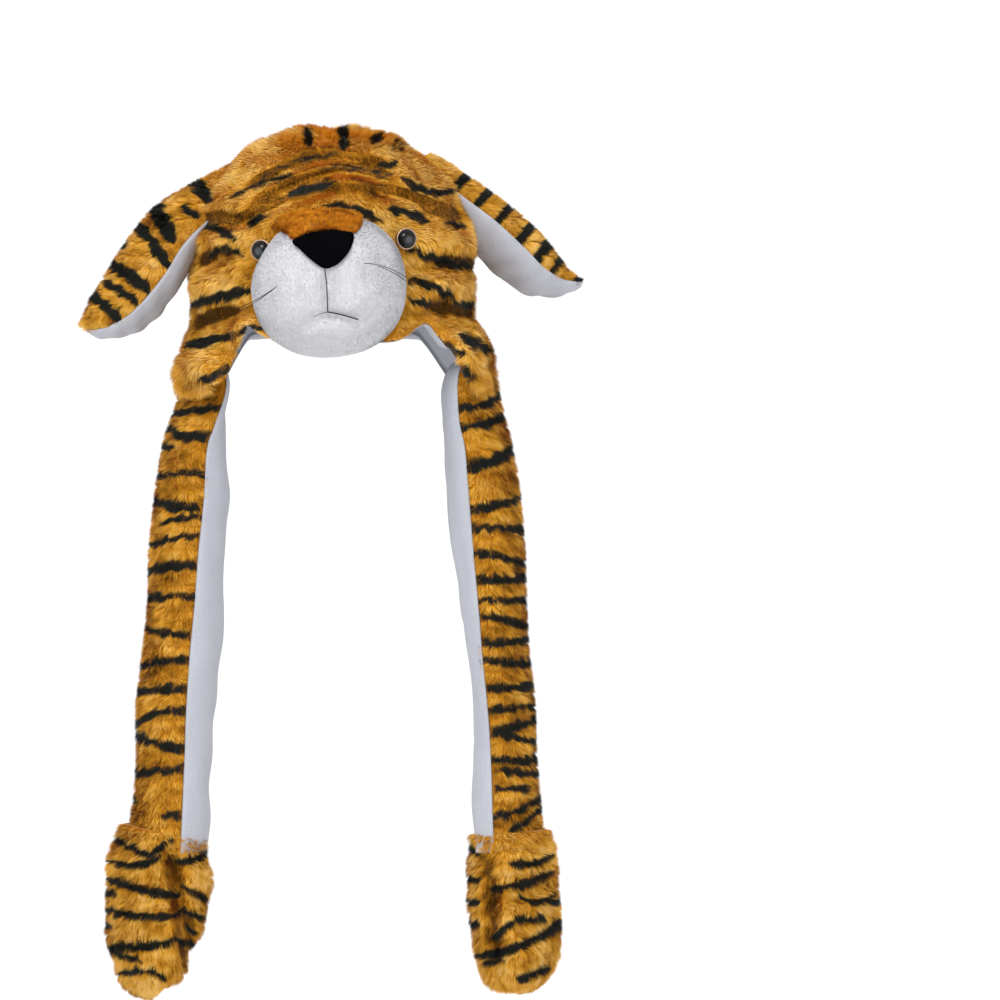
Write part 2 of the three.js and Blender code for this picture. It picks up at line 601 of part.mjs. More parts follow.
const LIMB_OUTWARD = { left: new THREE.Vector3(-1, 0, 0.6), right: new THREE.Vector3(1, 0, 0.6) };
const LIMBS = [
  { side: "left", ear: EAR_LEFT, flap: FLAP_LEFT, paw: PAW_LEFT },
  { side: "right", ear: EAR_RIGHT, flap: FLAP_RIGHT, paw: PAW_RIGHT },
];
LIMBS.forEach(({ side, ear, flap, paw }) => {
  const outward = LIMB_OUTWARD[side];
  const earBody = loft(ear, EAR_RINGS, bodyOutline(EAR_SEAM_LIP), outward).subtract(crownCutter);
  const earPanel = loft(ear, EAR_RINGS, panelOutline(EAR_SEAM_LIP), outward).subtract(crownCutter);
  hat.add(meshOf(`ear_${side}_fur`, earBody, COLOURS.fur));
  hat.add(meshOf(`ear_${side}_lining`, earPanel, COLOURS.lining));

  const flapBody = loft(flap, FLAP_RINGS, bodyOutline(FLAP_SEAM_LIP), outward).subtract(crownCutter);
  const flapPanel = loft(flap, FLAP_RINGS, panelOutline(FLAP_SEAM_LIP), outward).subtract(crownCutter);
  hat.add(meshOf(`flap_${side}_fur`, flapBody, COLOURS.fur));
  hat.add(meshOf(`flap_${side}_lining`, flapPanel, COLOURS.lining));

  const grownFlap = loft(flap, FLAP_RINGS, wholeOutline(-CUFF_GAP), outward);
  const socket = grownFlap.translate([0, 0, -CUFF_GAP]);
  const pawBody = loft(paw, PAW_RINGS, wholeOutline(0), outward).subtract(socket);
  hat.add(meshOf(`paw_${side}`, pawBody, COLOURS.fur));
});

export default hat;
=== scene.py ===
"""A plush tiger hat: cloth skins, pile, linings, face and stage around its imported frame."""
from collections import namedtuple
from types import SimpleNamespace

import bpy
import numpy as np
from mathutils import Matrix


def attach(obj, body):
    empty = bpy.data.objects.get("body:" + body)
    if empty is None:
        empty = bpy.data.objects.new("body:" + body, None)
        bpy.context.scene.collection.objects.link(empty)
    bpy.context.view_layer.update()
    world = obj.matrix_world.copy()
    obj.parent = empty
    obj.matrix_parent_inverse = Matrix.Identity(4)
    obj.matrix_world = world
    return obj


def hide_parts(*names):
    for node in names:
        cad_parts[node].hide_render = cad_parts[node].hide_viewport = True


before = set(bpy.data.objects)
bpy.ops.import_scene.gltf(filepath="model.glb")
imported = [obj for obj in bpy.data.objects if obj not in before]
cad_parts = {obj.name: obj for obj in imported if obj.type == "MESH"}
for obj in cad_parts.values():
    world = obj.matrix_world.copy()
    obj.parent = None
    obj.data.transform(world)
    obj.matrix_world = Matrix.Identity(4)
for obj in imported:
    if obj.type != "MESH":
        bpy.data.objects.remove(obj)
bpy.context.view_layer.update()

bl_info = {
    "name": "Plush tiger hat",
    "version": (1, 0, 0),
    "blender": (4, 5, 0),
    "location": "3D View > Sidebar > Tiger hat",
    "description": "Makes a striped plush hat with ears, paw flaps and a stuffed muzzle",
    "category": "Add Mesh",
}

BODY = "root"
MM = 0.001
FRONT = np.array([0.0, -1.0, 0.0])
OUTWARD = {"left": np.array([-1.0, 0.0, 0.6]), "right": np.array([1.0, 0.0, 0.6])}

# Crown, millimetres: an elliptical dome on a nearly upright wall
CROWN_HALF_WIDTH = 101
CROWN_HALF_DEPTH = 106
DOME_HEIGHT = 82
CROWN_TOP = 13.65
EQUATOR_Z = CROWN_TOP - DOME_HEIGHT
DOME_SHARE = 0.64
FRONT_CROWDING = 0.35
SHELL_WALL = 11.3
LINING_FACES = (11.9, 13.6)
FLARE = {"left": 9, "right": 14, "from": -116, "to": -166}
HEM_RADIUS = 3.2
CLOTH_INSET = 4.6
# Meshes of the crown and its lining
CROWN_POLE = 0.012
CROWN_ROWS = 112
CROWN_INNER_ROWS = 26
CROWN_COLUMNS = 200
LINING_ROWS = 36
LINING_COLUMNS = 160
LIP_STEPS = 9
# How much of the lining's lip is turned at the left of the face, and how far its plain edge is raised
LEFT_LIP = 0.15
LINING_EDGE_LIFT = 4

# Columns: azimuth in degrees from the face towards +X, height of the rim
RIM = (
    (-180, -130), (-140, -133), (-124, -166), (-90, -170), (-62, -168), (-51, -162),
    (-39, -121), (-20, -134), (0, -138), (26, -133), (44, -121), (56, -140), (65, -165), (72, -169),
    (90, -170), (124, -166), (140, -133), (180, -130),
)

# Folds seen from the front. Columns: x, z, half_length, half_width, tilt, curve, height
# Their heights also set the painted shade in the creases and the painted light on the crests of the pile
CROWN_FOLDS = (
    (-6, -20, 54, 17, 5, 6, 4), (-17, -13, 25, 3.4, 18, 6, -13), (-34, -19, 27, 3.2, 20, 3, -10),
    (15, -11, 26, 3.4, -8, 3, -12), (-27, -28, 29, 4, 24, 3, -13), (20, -20, 23, 3.6, -9, 3, -12),
    (-14, -31, 15, 5, 18, 1, -9), (37, -2, 13, 8, -10, 2, 4), (50, -36, 22, 3.5, -18, 2, -7),
    (-38, 4, 33, 9, 20, 3, 3), (-50, -47, 22, 3.5, 25, 2, -7), (-82, -54, 16, 6, 10, 2, -5),
    (-70, -66, 17, 8, 24, 2, 5), (-80, -79, 15, 6, 30, 3, -6), (-83, -99, 18, 13, 14, 2, 5),
    (-80, -121, 20, 6, 18, 3, -5), (-55, -131, 15, 8, -8, 2, 6), (-93, -153, 15, 12, 20, 0, 5),
    (77, -49, 18, 7, -24, 2, -5), (83, -66, 18, 10, -16, 2, 5), (87, -84, 17, 6, -10, 2, -5),
    (82, -99, 17, 10, -12, 2, 4), (83, -117, 20, 6, -16, 2, -4), (93, -141, 17, 13, -30, 0, 5),
)
# The deeper orange patch over the bridge: x, z, half_length, tilt, curve; and its half width
FOREHEAD = (14, -31, 27, -6, 3)
FOREHEAD_HALF_WIDTH = 7
# Columns as those of the crown's folds
# Their heights also set painted shade and painted light on the front of the paws' pile
PAW_FOLDS = {
    "left": ((-106, -532, 46, 6, -80, 2, -12), (-97, -515, 14, 8, 20, 0, 3), (-133, -510, 22, 5, 6, -3, -4)),
    "right": ((109, -533, 40, 6, -84, 1, -10), (135, -520, 22, 6, 8, -3, -4), (122, -549, 16, 6, 40, 0, -4)),
}

# Muzzle: a stuffed dome on the face, turned a little about the line of sight
MUZZLE = SimpleNamespace(
    x=-2, z=-98, half_width=55, half_height=51, front_y=-158, seat_y=-98, fullness=0.82,
    squareness=2.25, turn=4, taper=0.13, taper_to=42,
)
# Columns: x, z from the muzzle's centre, half_length, half_width, tilt, curve, height
MUZZLE_DENTS = (
    (0, -5, 17, 6, 90, 0, -4), (-12, -24, 15, 5, 18, 1, -3),
    (12, -24, 15, 5, -18, 1, -3), (0, -38, 25, 12, 0, 0, 3),
)

# Columns: x, z from the muzzle's centre
NOSE_OUTLINE = (
    (-22.5, 33), (-11.7, 37.5), (0, 38.7), (11.7, 37.8), (20.2, 34.8),
    (17.5, 25), (10.8, 17), (3.3, 12.8), (-2.5, 12.8), (-10, 18.7), (-17.5, 26.7),
)
BRIDGE_OUTLINE = (
    (-22, 34), (-11.7, 37.4), (0, 38.6), (11.7, 37.7), (20.5, 35),
    (26.5, 40.5), (26, 46), (18, 50), (8, 52), (-4, 53), (-16, 52.5), (-28, 49.5),
    (-37, 43), (-31, 40), (-26, 37.6),
)

# Eye buttons: azimuth in degrees, z
EYES = {"left": (-28.2, -73.5), "right": (30, -65.5)}
EYE_RADIUS = 7.2
EYE_DOME = 4.6
EYE_SEAT = 2.5
EYE_LOOK_AHEAD = 0.4

# Spines of the ears, flaps and paws. Columns: x, y, z, half_width, half_thickness, turn, bow
EARS = {
    "left": (
        (-50, 3, -21, 23, 13, 14, 0), (-72, 2, -31, 27, 16, 14, 0), (-94, -2, -46, 31, 19, 15, 0),
        (-113, -3, -64, 33, 23, 15, 0), (-128, -3, -87, 33, 25, 15, 0), (-145, -2, -109, 27, 23, 15, 0),
        (-161, 0, -121, 18, 17, 18, 0), (-174, 2, -127, 6, 6, 20, 0),
    ),
    "right": (
        (50, 7, -12, 23, 13, -8, 0), (70, 9, -24, 27, 16, -10, 0), (89, 13, -40, 30, 18, -13, 0),
        (108, 20, -56, 32, 20, -15, 0), (126, 27, -73, 31, 21, -16, 0), (142, 34, -87, 25, 19, -14, 0),
        (158, 40, -95, 16, 12, -10, 0), (173, 45, -97, 6, 3, -6, 0),
    ),
}
FLAPS = {
    "left": (
        (-101, 0, -151, 38, 4, 8, 10), (-93, 0, -165, 43, 13, 8, 12), (-95, 0, -191, 39, 18, 9, 6),
        (-98, 0, -212, 36, 22, 11, 1), (-100, 0, -249, 33, 26, 12, 0), (-103, 0, -287, 33, 27, 10, 0),
        (-104, 0, -323, 33, 27, 7, 0), (-107, 0, -358, 34, 28, 6, 0), (-111, 0, -394, 34, 28, 9, 0),
        (-112, 0, -429, 33, 27, 9, 0), (-114, 0, -461, 34, 27, 10, 0), (-118, 0, -494, 35, 28, 14, 0),
    ),
    "right": (
        (104, 0, -151, 38, 4, 6, 8), (97, 0, -165, 43, 18, 3, 5), (98.5, 0, -191, 39, 22, 5, 4),
        (102, 0, -212, 36, 24, 9, 1), (106, 0, -249, 33, 26, 13, 0), (110, 0, -287, 33, 25, 15, 0),
        (113, 0, -323, 33, 23, 15, 0), (117, 0, -358, 33, 20, 18, 0), (121, 0, -394, 33, 20, 19, 0),
        (121, 0, -429, 33, 22, 14, 0), (122, 0, -461, 34, 24, 13, 0), (124, 0, -494, 35, 25, 14, 0),
    ),
}
PAWS = {
    "left": (
        (-119, 0, -485, 39, 32, 14, 0), (-122, 0, -501, 44, 36, 14, 0), (-123, 0, -524, 47, 37, 14, 0),
        (-125, 0, -549, 48, 35, 14, 0), (-128, 0, -569, 43, 30, 16, 0), (-131, 0, -584, 33, 20, 16, 0),
        (-130, 0, -593, 18, 10, 16, 0), (-129, 0, -597, 4, 2, 16, 0),
    ),
    "right": (
        (124, 0, -485, 39, 29, 14, 0), (125, 0, -503, 43, 32, 13, 0), (127, 0, -531, 47, 33, 12, 0),
        (129, 0, -557, 47, 31, 12, 0), (129, 0, -571, 45, 29, 12, 0), (130, 0, -581, 39, 25, 12, 0),
        (131, 0, -588, 27, 17, 12, 0), (131, 0, -591, 6, 4, 12, 0),
    ),
}
# How ears and flaps are made: rows and columns of the cloth; its insets on the fur side and the
# lining side; where cloth, pile and lining start on the table; degrees that the pile reaches past
# each seam, and that the lining keeps from it; and how deep in the crown the pile ends
EAR = SimpleNamespace(
    rows=90, columns=72, fur_inset=3.6, back_inset=2.7, cloth_from=0.5, pile_from=0.5, lining_from=0.7,
    overhang=6.5, seam_lip=7, pile_depth=6,
)
FLAP = SimpleNamespace(
    rows=150, columns=72, fur_inset=3.2, back_inset=2.7, cloth_from=0.0, pile_from=0.3, lining_from=0.2,
    overhang=7, seam_lip=8, pile_depth=4,
)
PANEL_ROWS = 110
PANEL_COLUMNS = 32
PANEL_THICKNESS = 2.0
# Rows up inside a paw's cuff and over its roll. Columns: position on the table, inset, lift
CUFF_ROWS = (
    (0.5, 15, 0), (0.1, 12.5, 0), (0, 11, 2), (0, 8.6, 4.2), (0, 6.2, 4.6), (0, 4.6, 3), (0, 4.1, 0.5),
)
PAW_BODY_ROWS = 84
PAW_CLOTH_INSET = 4.2
PAW_FUR_FROM = 4

# Stripes seen from the front. Columns: x, z, half_length, half_width, tilt, curve
CROWN_STRIPES = (
    (-17.3, 5.6, 7, 3, -76, 0), (8, 6, 9, 3.5, -84, 0), (31.9, 4.6, 5.5, 2.6, 20, 0),
    (46.9, -0.4, 5, 2.2, -56, 0), (-24.9, -16.5, 28, 1.2, 18, 4.3), (-50, -30, 24, 1.3, 20, 3),
    (16, -20, 26, 1.1, -6, 3), (-15, -31, 16, 3, 15, 0), (38.5, -14.4, 7, 2.4, 0, 0),
    (67.9, -27.7, 20.2, 2.4, -14, -5), (53.9, -49.4, 15.3, 3, -16, 1.5), (86.8, -56, 7.2, 2, -14, 0),
    (14, -49.4, 21.3, 2.2, -17, 5.2), (-53.2, -52.9, 8, 2.6, 38, 0), (-80.5, -61.3, 14.4, 2.6, -23, 2),
    (-74.9, -79.5, 12.7, 2.4, 6, 5.6), (-78, -107.5, 22.9, 3.6, 16, 0.5), (-50.8, -135, 15.2, 2.4, -9, 7.5),
    (-84.4, -136.9, 18.9, 3.4, 11, 0), (-82.3, -160, 12.8, 3, 26, -1.5), (-92, -33.3, 10, 3.6, -43, 0),
    (-100, -47, 6.7, 2.2, -38, 0), (77, -80.5, 24, 3, -16, -1), (71.4, -104, 20, 3, -29, 3.5),
    (94.5, -113, 6, 3, 5, 0), (61.3, -110.6, 7.6, 2.2, -13, 0), (100, -140, 14, 3.2, -30, 1.5),
    (84, -143, 9, 3, -28, 0), (93, -160, 9, 3, -48, 0),
)
EAR_STRIPES = {
    "left": (
        (-92, -32, 13, 4.8, -46, 0), (-119.5, -54, 17, 5.4, -60, 0), (-100, -47.5, 8, 3, -33, 0),
        (-127.5, -69.5, 20.5, 3.8, -51, 1), (-144.5, -92.5, 21, 3.9, -34, 1.5), (-109, -88, 9, 3, -40, 0),
        (-148.5, -104, 15, 2.7, -32, 1), (-160.5, -114, 17, 3.7, -43, 1), (-148, -69, 4.5, 3, -45, 0),
    ),
    "right": (
        (93.1, -23.4, 14, 3.1, 48, 0), (107.5, -35.3, 13, 2.9, 48, 0), (122.5, -46.2, 13, 2.8, 50, 0),
        (136, -61.5, 15, 3.4, 52, 0), (148, -74.5, 15, 3.8, 52, 0), (158, -84, 9, 2.4, 60, 0),
        (173, -96, 8, 3.6, 50, 0),
    ),
}
PAW_STRIPES = {
    "left": (
        (-141.4, -491.9, 14.4, 2.4, -23, 0), (-119.7, -491.5, 10.3, 2.4, 35, 0),
        (-139.3, -500, 19.7, 2.6, 6, -4), (-133, -519.6, 27, 3, -11.5, -1.5),
        (-133.7, -537, 27.6, 2.9, -2, -2.5), (-132.7, -559.7, 27.7, 2.9, 7, -1),
        (-145.6, -568.4, 12.8, 2.2, -11, 0), (-133.4, -582.8, 18, 2.4, -3, 4),
        (-97.7, -497.4, 14, 2.4, 14, -3), (-96.6, -524.3, 12, 2.6, -29, 0), (-98, -539, 9.9, 2.4, -23, 0),
        (-98.4, -549.8, 6, 2.4, -42, 0), (-101.9, -559.3, 6, 2.2, -18, 0), (-163, -548, 8, 2.4, 4, 0),
        (-160, -524, 9, 2.6, -6, 0),
    ),
    "right": (
        (139, -500.2, 15.9, 2.4, 8, -3), (132.7, -514.9, 23.4, 3.2, 14, -3),
        (143.9, -524, 13.7, 2.2, 0, -6), (118.9, -549.5, 11.3, 2.4, 41, 0),
        (138.6, -542.9, 11.4, 2.4, -3, 1), (129.2, -557.6, 32.4, 3.2, 20, -3),
        (154, -549.9, 9, 4.2, 40, 0), (140, -581, 13.2, 3.2, 17, 0), (96.3, -514.9, 6, 2.2, 0, 0),
        (97, -530.3, 5, 2.2, 0, 0), (98, -546.4, 5, 3, 0, 0), (96, -493, 8, 2.4, -40, 0),
        (112, -572, 8, 2.2, 10, 0), (160, -530, 8, 2.4, 10, 0),
    ),
}

# Stripes across the flaps. Columns: z at the front seam, z at the outer side, half_width, and the
# share of the way round where each begins and ends; 3 is all the way
FLAP_STRIPES = {
    "left": (
        (-184, -190, 2.4, 0, 3), (-205.5, -203, 3.2, 0, 0.62), (-204, -199, 2.8, 0.5, 3),
        (-214, -212.5, 2.4, 0.6, 3), (-231, -231.5, 2.2, 0, 3), (-254, -250.5, 3.2, 0, 3),
        (-261.5, -266, 2, 0, 0.6), (-275, -281, 2.3, 0, 3), (-295, -299.5, 3.4, 0, 3),
        (-315.5, -318.5, 2.5, 0, 3), (-343.5, -338, 2.6, 0, 0.85), (-359.5, -367, 2.6, 0, 3),
        (-382, -383, 2.8, 0, 3), (-396, -407.5, 2.8, 0, 3), (-422, -415, 3.4, 0, 3),
        (-436.5, -441, 2.9, 0, 3), (-462, -459, 2.5, 0.8, 3), (-470, -470, 2.5, 0, 0.2),
    ),
    "right": (
        (-184.5, -175.5, 2.6, 0, 3), (-197, -191, 2.9, 0, 3), (-226, -213.5, 4, 0, 3),
        (-256, -247, 2.8, 0, 3), (-269.5, -270, 2.8, 0, 3), (-285.5, -294, 2.8, 0, 3),
        (-305.5, -303.5, 3.1, 0, 3), (-319.5, -319.5, 2.8, 0, 3), (-331.5, -336.5, 2.4, 0, 3),
        (-349, -347.5, 3, 0, 3), (-360.5, -364.5, 3, 0, 3), (-380.5, -378.5, 2.9, 0, 3),
        (-395.5, -394, 2.5, 0, 3), (-410, -404.5, 3, 0, 3), (-412, -418, 2.6, 0.1, 3),
        (-430.5, -430.5, 3, 0, 3), (-439, -441.5, 2.5, 0.1, 3), (-451.5, -451.5, 2.4, 0, 0.6),
        (-470.5, -458.5, 2.9, 0, 3), (-481.5, -465.5, 2.6, 0.2, 3),
    ),
}
# Degrees from the front seam to a flap's outer side
OUTER_SIDE = 105
# How far a stripe's edge fades
STRIPE_EDGE = 1.7
BACK_STRIPE_SPACING = 21
BACK_STRIPE_HALF_WIDTH = 2.4

# Whiskers seen from the front. Columns: x and z of the root, x and z of the tip, sag
WHISKERS = (
    (-37.4, -98.2, -65, -113.5, -1.2), (-39, -99.5, -63, -115.5, -0.8),
    (23.1, -82.2, 52.5, -92, 2.5), (32.9, -84.3, 52.5, -94.9, 1.2),
)
# Mouth stitches seen from the front: radius, and a line of x, z
MOUTH = {
    "mouth_seam": (0.4, ((-4.2, -86), (-2.8, -98), (-2.1, -115.8))),
    "mouth_right": (0.5, ((-2.1, -115.8), (7, -117.5), (19, -121))),
    "mouth_left": (0.2, ((-2.1, -115.8), (-7, -117), (-12, -119.2))),
}

BAKE_MAP = "OFBake"
PATTERN = "pattern"
# How much deeper the folds of the cloth are than those of the solid, and where their depth ends
FOLD_DEPTH = 1.5
DEEPEST_FOLD = 5.8
# Powers of e are cut here, where nothing is left of a bell curve
FAR = 50

# How a pile stands: lift and ruffle in degrees, size of its tufts, how far their tips gather,
# wavelength of its tints, and how uneven it looks
Pile = namedtuple("Pile", "lift tuft gather ruffle tint_wave tousle")
LONG_PILE = Pile(46, 8.5, 0.34, 14, 30, 0.14)
CROWN_PILE = LONG_PILE._replace(ruffle=16)
FLAP_PILE = LONG_PILE._replace(ruffle=11)
MUZZLE_PILE = Pile(68, 5, 0.06, 40, 22, 0.02)
BRIDGE_PILE = Pile(50, 4.5, 0.4, 24, 14, 0.3)
# Roots sown on each piece, before those that lie under another piece are dropped
ROOTS = {
    "crown_pile_front": 270000, "crown_pile_back": 200000, "ear": 46000, "flap": 74000, "paw": 66000,
    "muzzle": 120000, "bridge": 20000,
}
PILE_BANDS = 8
ROOT_SINK = 0.8
REACH = (0.62, 1.1)
LOCK_SIZE = 0.38
LOCK_GATHER = 0.22
TOSS = 0.08
# The crown's pile is parted here into a front and a back piece. It stops at this share of the
# muzzle's outline, round the eyes, and under the bridge: half width, lowest and highest
CROWN_PARTING_Y = 12
MUZZLE_FOOT = 0.93
EYE_CLEARANCE = 2.2
UNDER_BRIDGE = (27, 30, 50)
# The muzzle's pile stops under the nose: height of its middle, half width, half height; and under
# the bridge: lowest, half width
UNDER_NOSE = (28, 14, 9)
MUZZLE_TOP_BARE = (42, 20)
BACK_STRAND_WIDTH = 1.25
PAW_STRAND_WIDTH = 1.1
MUZZLE_STRAND_WIDTH = 0.36
BRIDGE_STRAND_WIDTH = 0.5
FLAP_TINT = -0.09

# Stage, metres and degrees
PHOTO_WIDTH = 0.7
AIM = (0.1169, 0.0, -0.2489)
FLOOR_Z = -0.626
FLOOR_RADIUS = 2.4
FLOOR_CORNERS = 96
SENSOR_WIDTH = 36
KEY_PLACE = (-0.45, -2.7, 2.1)
KEY_TURN = (51, 0, -9.5)
KEY_SIZE = 1.6


class HatSizes(bpy.types.PropertyGroup):
    """Sizes that a maker would change"""

    crown_pile: bpy.props.FloatProperty(
        name="Crown pile", description="Length of the crown's fur", default=0.0078, unit="LENGTH")
    ear_pile: bpy.props.FloatProperty(
        name="Ear pile", description="Length of the ears' fur", default=0.0068, unit="LENGTH")
    flap_pile: bpy.props.FloatProperty(
        name="Flap pile", description="Length of the flaps' fur", default=0.0063, unit="LENGTH")
    paw_pile: bpy.props.FloatProperty(
        name="Paw pile", description="Length of the paws' fur", default=0.0078, unit="LENGTH")
    muzzle_pile: bpy.props.FloatProperty(
        name="Muzzle pile", description="Length of the muzzle's plush", default=0.0022, unit="LENGTH")
    bridge_pile: bpy.props.FloatProperty(
        name="Bridge pile", description="Length of the bridge's plush", default=0.0045, unit="LENGTH")
    nose_thickness: bpy.props.FloatProperty(
        name="Nose thickness", description="How far the nose pad stands up", default=0.005, unit="LENGTH")
    strand_width: bpy.props.FloatProperty(
        name="Strand width", description="Width of a strand at its root", default=0.00058, unit="LENGTH")
    whisker_radius: bpy.props.FloatProperty(
        name="Whisker radius", description="Radius of a whisker", default=0.00028, unit="LENGTH")


class HatColours(bpy.types.PropertyGroup):
    """Colours that a maker would change, as linear values"""

    fur_root: bpy.props.FloatVectorProperty(
        name="Fur root", description="Orange fur near the cloth", default=(0.46, 0.175, 0.006),
        subtype="COLOR")
    fur_middle: bpy.props.FloatVectorProperty(
        name="Fur middle", description="Orange fur at its middle", default=(0.67, 0.297, 0.016),
        subtype="COLOR")
    fur_tip: bpy.props.FloatVectorProperty(
        name="Fur tip", description="Orange fur at its tip", default=(0.77, 0.425, 0.066), subtype="COLOR")
    stripe: bpy.props.FloatVectorProperty(
        name="Stripe", description="Charcoal of the stripes", default=(0.014, 0.015, 0.012), subtype="COLOR")
    stripe_edge: bpy.props.FloatVectorProperty(
        name="Stripe edge", description="Olive brown beside a stripe", default=(0.17, 0.10, 0.024),
        subtype="COLOR")
    white_plush: bpy.props.FloatVectorProperty(
        name="White plush", description="Pile of the muzzle", default=(0.66, 0.66, 0.69), subtype="COLOR")
    lining: bpy.props.FloatVectorProperty(
        name="Lining", description="Fleece of the linings", default=(0.395, 0.405, 0.45), subtype="COLOR")
    rust: bpy.props.FloatVectorProperty(
        name="Rust plush", description="Pile of the bridge", default=(0.37, 0.105, 0.003), subtype="COLOR")
    nose: bpy.props.FloatVectorProperty(
        name="Nose", description="Velvet of the nose", default=(0.0016, 0.0016, 0.002), subtype="COLOR")
    eye: bpy.props.FloatVectorProperty(
        name="Eye", description="Body of the eye buttons", default=(0.004, 0.003, 0.003), subtype="COLOR")
    # A grey highlight painted in the middle of each eye, for the reflection of a big soft light
    eye_painted_highlight: bpy.props.FloatVectorProperty(
        name="Eye centre", description="Pale middle of the eyes", default=(0.055, 0.06, 0.065),
        subtype="COLOR")
    eye_ring: bpy.props.FloatVectorProperty(
        name="Eye ring", description="Ring round an eye button", default=(0.62, 0.41, 0.31), subtype="COLOR")


class HatStage(bpy.types.PropertyGroup):
    """Camera and light"""

    distance: bpy.props.FloatProperty(
        name="Camera distance", description="From the camera to the hat", default=12.0, unit="LENGTH")
    elevation: bpy.props.FloatProperty(
        name="Camera elevation", description="Angle above level", default=float(np.radians(1.2)),
        subtype="ANGLE")
    key_power: bpy.props.FloatProperty(
        name="Key light", description="Power of the soft key light", default=88.0, unit="POWER")
    sky: bpy.props.FloatProperty(
        name="Sky", description="Strength of the white surround", default=1.1)


# Shared maths


def unit(vectors):
    """Vectors of the same direction and length 1."""
    return vectors / np.maximum(np.linalg.norm(vectors, axis=-1, keepdims=True), 1e-9)


def smoothstep(low, high, value):
    """Eases from 0 at low to 1 at high: t squared times 3 minus 2 t."""
    t = np.clip((value - low) / (high - low), 0, 1)
    return t * t * (3 - 2 * t)


def smooth_max(a, b, blend):
    """The larger of two heights, rounded where they cross."""
    return 0.5 * (a + b + np.sqrt((a - b) ** 2 + blend**2))


def waves(points, wavelength, seed, count=7):
    """Smooth noise of about -1 to 1: the sum of sine waves in seeded directions."""
    rng = np.random.default_rng(seed)
    directions = unit(rng.normal(size=(count, 3)))
    pitch = rng.uniform(0.7, 1.5, (count, 1)) * 2 * np.pi / wavelength
    phases = rng.uniform(0, 2 * np.pi, count)
    return np.sin(points @ (directions * pitch).T + phases).sum(-1) / np.sqrt(count)


def columns_at(table, position):
    """A table's columns at fractional row numbers, on a Catmull-Rom curve through its rows."""
    table = np.asarray(table, float)
    last = len(table) - 1
    row = np.clip(np.floor(position).astype(int), 0, last - 1)
    t = (position - row)[:, None]
    a, b, c, d = (table[np.clip(row + k, 0, last)] for k in (-1, 0, 1, 2))
    return b + 0.5 * t * (c - a + t * (2 * a - 5 * b + 4 * c - d + t * (3 * (b - c) + d - a)))


def bar_place(x, z, bar_x, bar_z, half_length, tilt, curve):
    """Where a point lies on a bent bar: along from -1 to 1, and across in millimetres."""
    c = np.cos(np.radians(tilt))
    s = np.sin(np.radians(tilt))
    along = ((x - bar_x) * c + (z - bar_z) * s) / half_length
    across = -(x - bar_x) * s + (z - bar_z) * c - curve * (1 - along**2)
    return along, across


def fold_height(folds, x, z):
    """Sum of soft bars: height times exp(-along^4) times exp(-across^2)."""
    total = np.zeros_like(x)
    for bar_x, bar_z, half_length, half_width, tilt, curve, height in folds:
        along, across = bar_place(x, z, bar_x, bar_z, half_length, tilt, curve)
        lengthwise = np.exp(-np.minimum(along**4, FAR))
        crosswise = np.exp(-np.minimum((across / half_width) ** 2, FAR))
        total += height * lengthwise * crosswise
    return total


def stripe_cover(stripes, x, z):
    """How much a table of bars covers each point, 0 to 1: each tapers to its ends."""
    cover = np.zeros_like(x)
    for bar_x, bar_z, half_length, half_width, tilt, curve in stripes:
        along, across = bar_place(x, z, bar_x, bar_z, half_length, tilt, curve)
        width = half_width * np.sqrt(np.clip(1.08 - along**4, 0, 1)) - STRIPE_EDGE * (np.abs(along) > 1.05)
        cover = np.maximum(cover, np.clip((width - np.abs(across)) / STRIPE_EDGE + 0.5, 0, 1))
    return cover


# Shapes, in millimetres


def rim_at(azimuth):
    """The rim's height at azimuths in degrees, eased between the rows of its table."""
    turns, heights = np.array(RIM, float).T
    row = np.clip(np.searchsorted(turns, azimuth), 1, len(turns) - 1)
    ease = smoothstep(turns[row - 1], turns[row], azimuth)
    return heights[row - 1] + (heights[row] - heights[row - 1]) * ease


def crown_points(azimuth, down, inset, relief):
    """The crown: down runs over a quarter ellipse to the equator, then down the wall to the rim. The
    surface is moved along its normal by the flare of the ear flaps less the inset, and nearly level by
    the folds."""
    a = np.radians(azimuth)
    polar = np.minimum(1, down / DOME_SHARE) * np.pi / 2
    wall = np.maximum(0, (down - DOME_SHARE) / (1 - DOME_SHARE))
    ring = np.sin(polar)
    height = EQUATOR_Z + DOME_HEIGHT * np.cos(polar)
    z = np.where(wall > 0, EQUATOR_Z + wall * (rim_at(azimuth) - EQUATOR_Z), height)
    point = np.stack([CROWN_HALF_WIDTH * ring * np.sin(a), -CROWN_HALF_DEPTH * ring * np.cos(a), z], -1)
    tall = np.where(wall > 0, 0, np.cos(polar) / DOME_HEIGHT)
    normal = unit(np.stack(
        [ring * np.sin(a) / CROWN_HALF_WIDTH, -ring * np.cos(a) / CROWN_HALF_DEPTH, tall], -1))
    side = np.where(np.sin(a) < 0, FLARE["left"], FLARE["right"])
    lean = side * smoothstep(0.35, 0.85, np.abs(np.sin(a)))
    lift = lean * smoothstep(FLARE["from"], FLARE["to"], z)
    facing = smoothstep(25, -30, point[..., 1])
    fold = relief * (facing * fold_height(CROWN_FOLDS, point[..., 0], z) + 1.1 * waves(point, 34, 11))
    fold = np.maximum(0, fold) + DEEPEST_FOLD * np.tanh(np.minimum(0, fold) / DEEPEST_FOLD)
    level = unit(normal * [1, 1, 0.25])
    return point + normal * (lift - inset)[..., None] + level * fold[..., None]


def crown_azimuths(columns):
    """Azimuths of the crown's columns in degrees, closer together at the face."""
    turn = np.linspace(-np.pi, np.pi, columns, endpoint=False)
    return np.degrees(turn - FRONT_CROWDING * np.sin(turn))


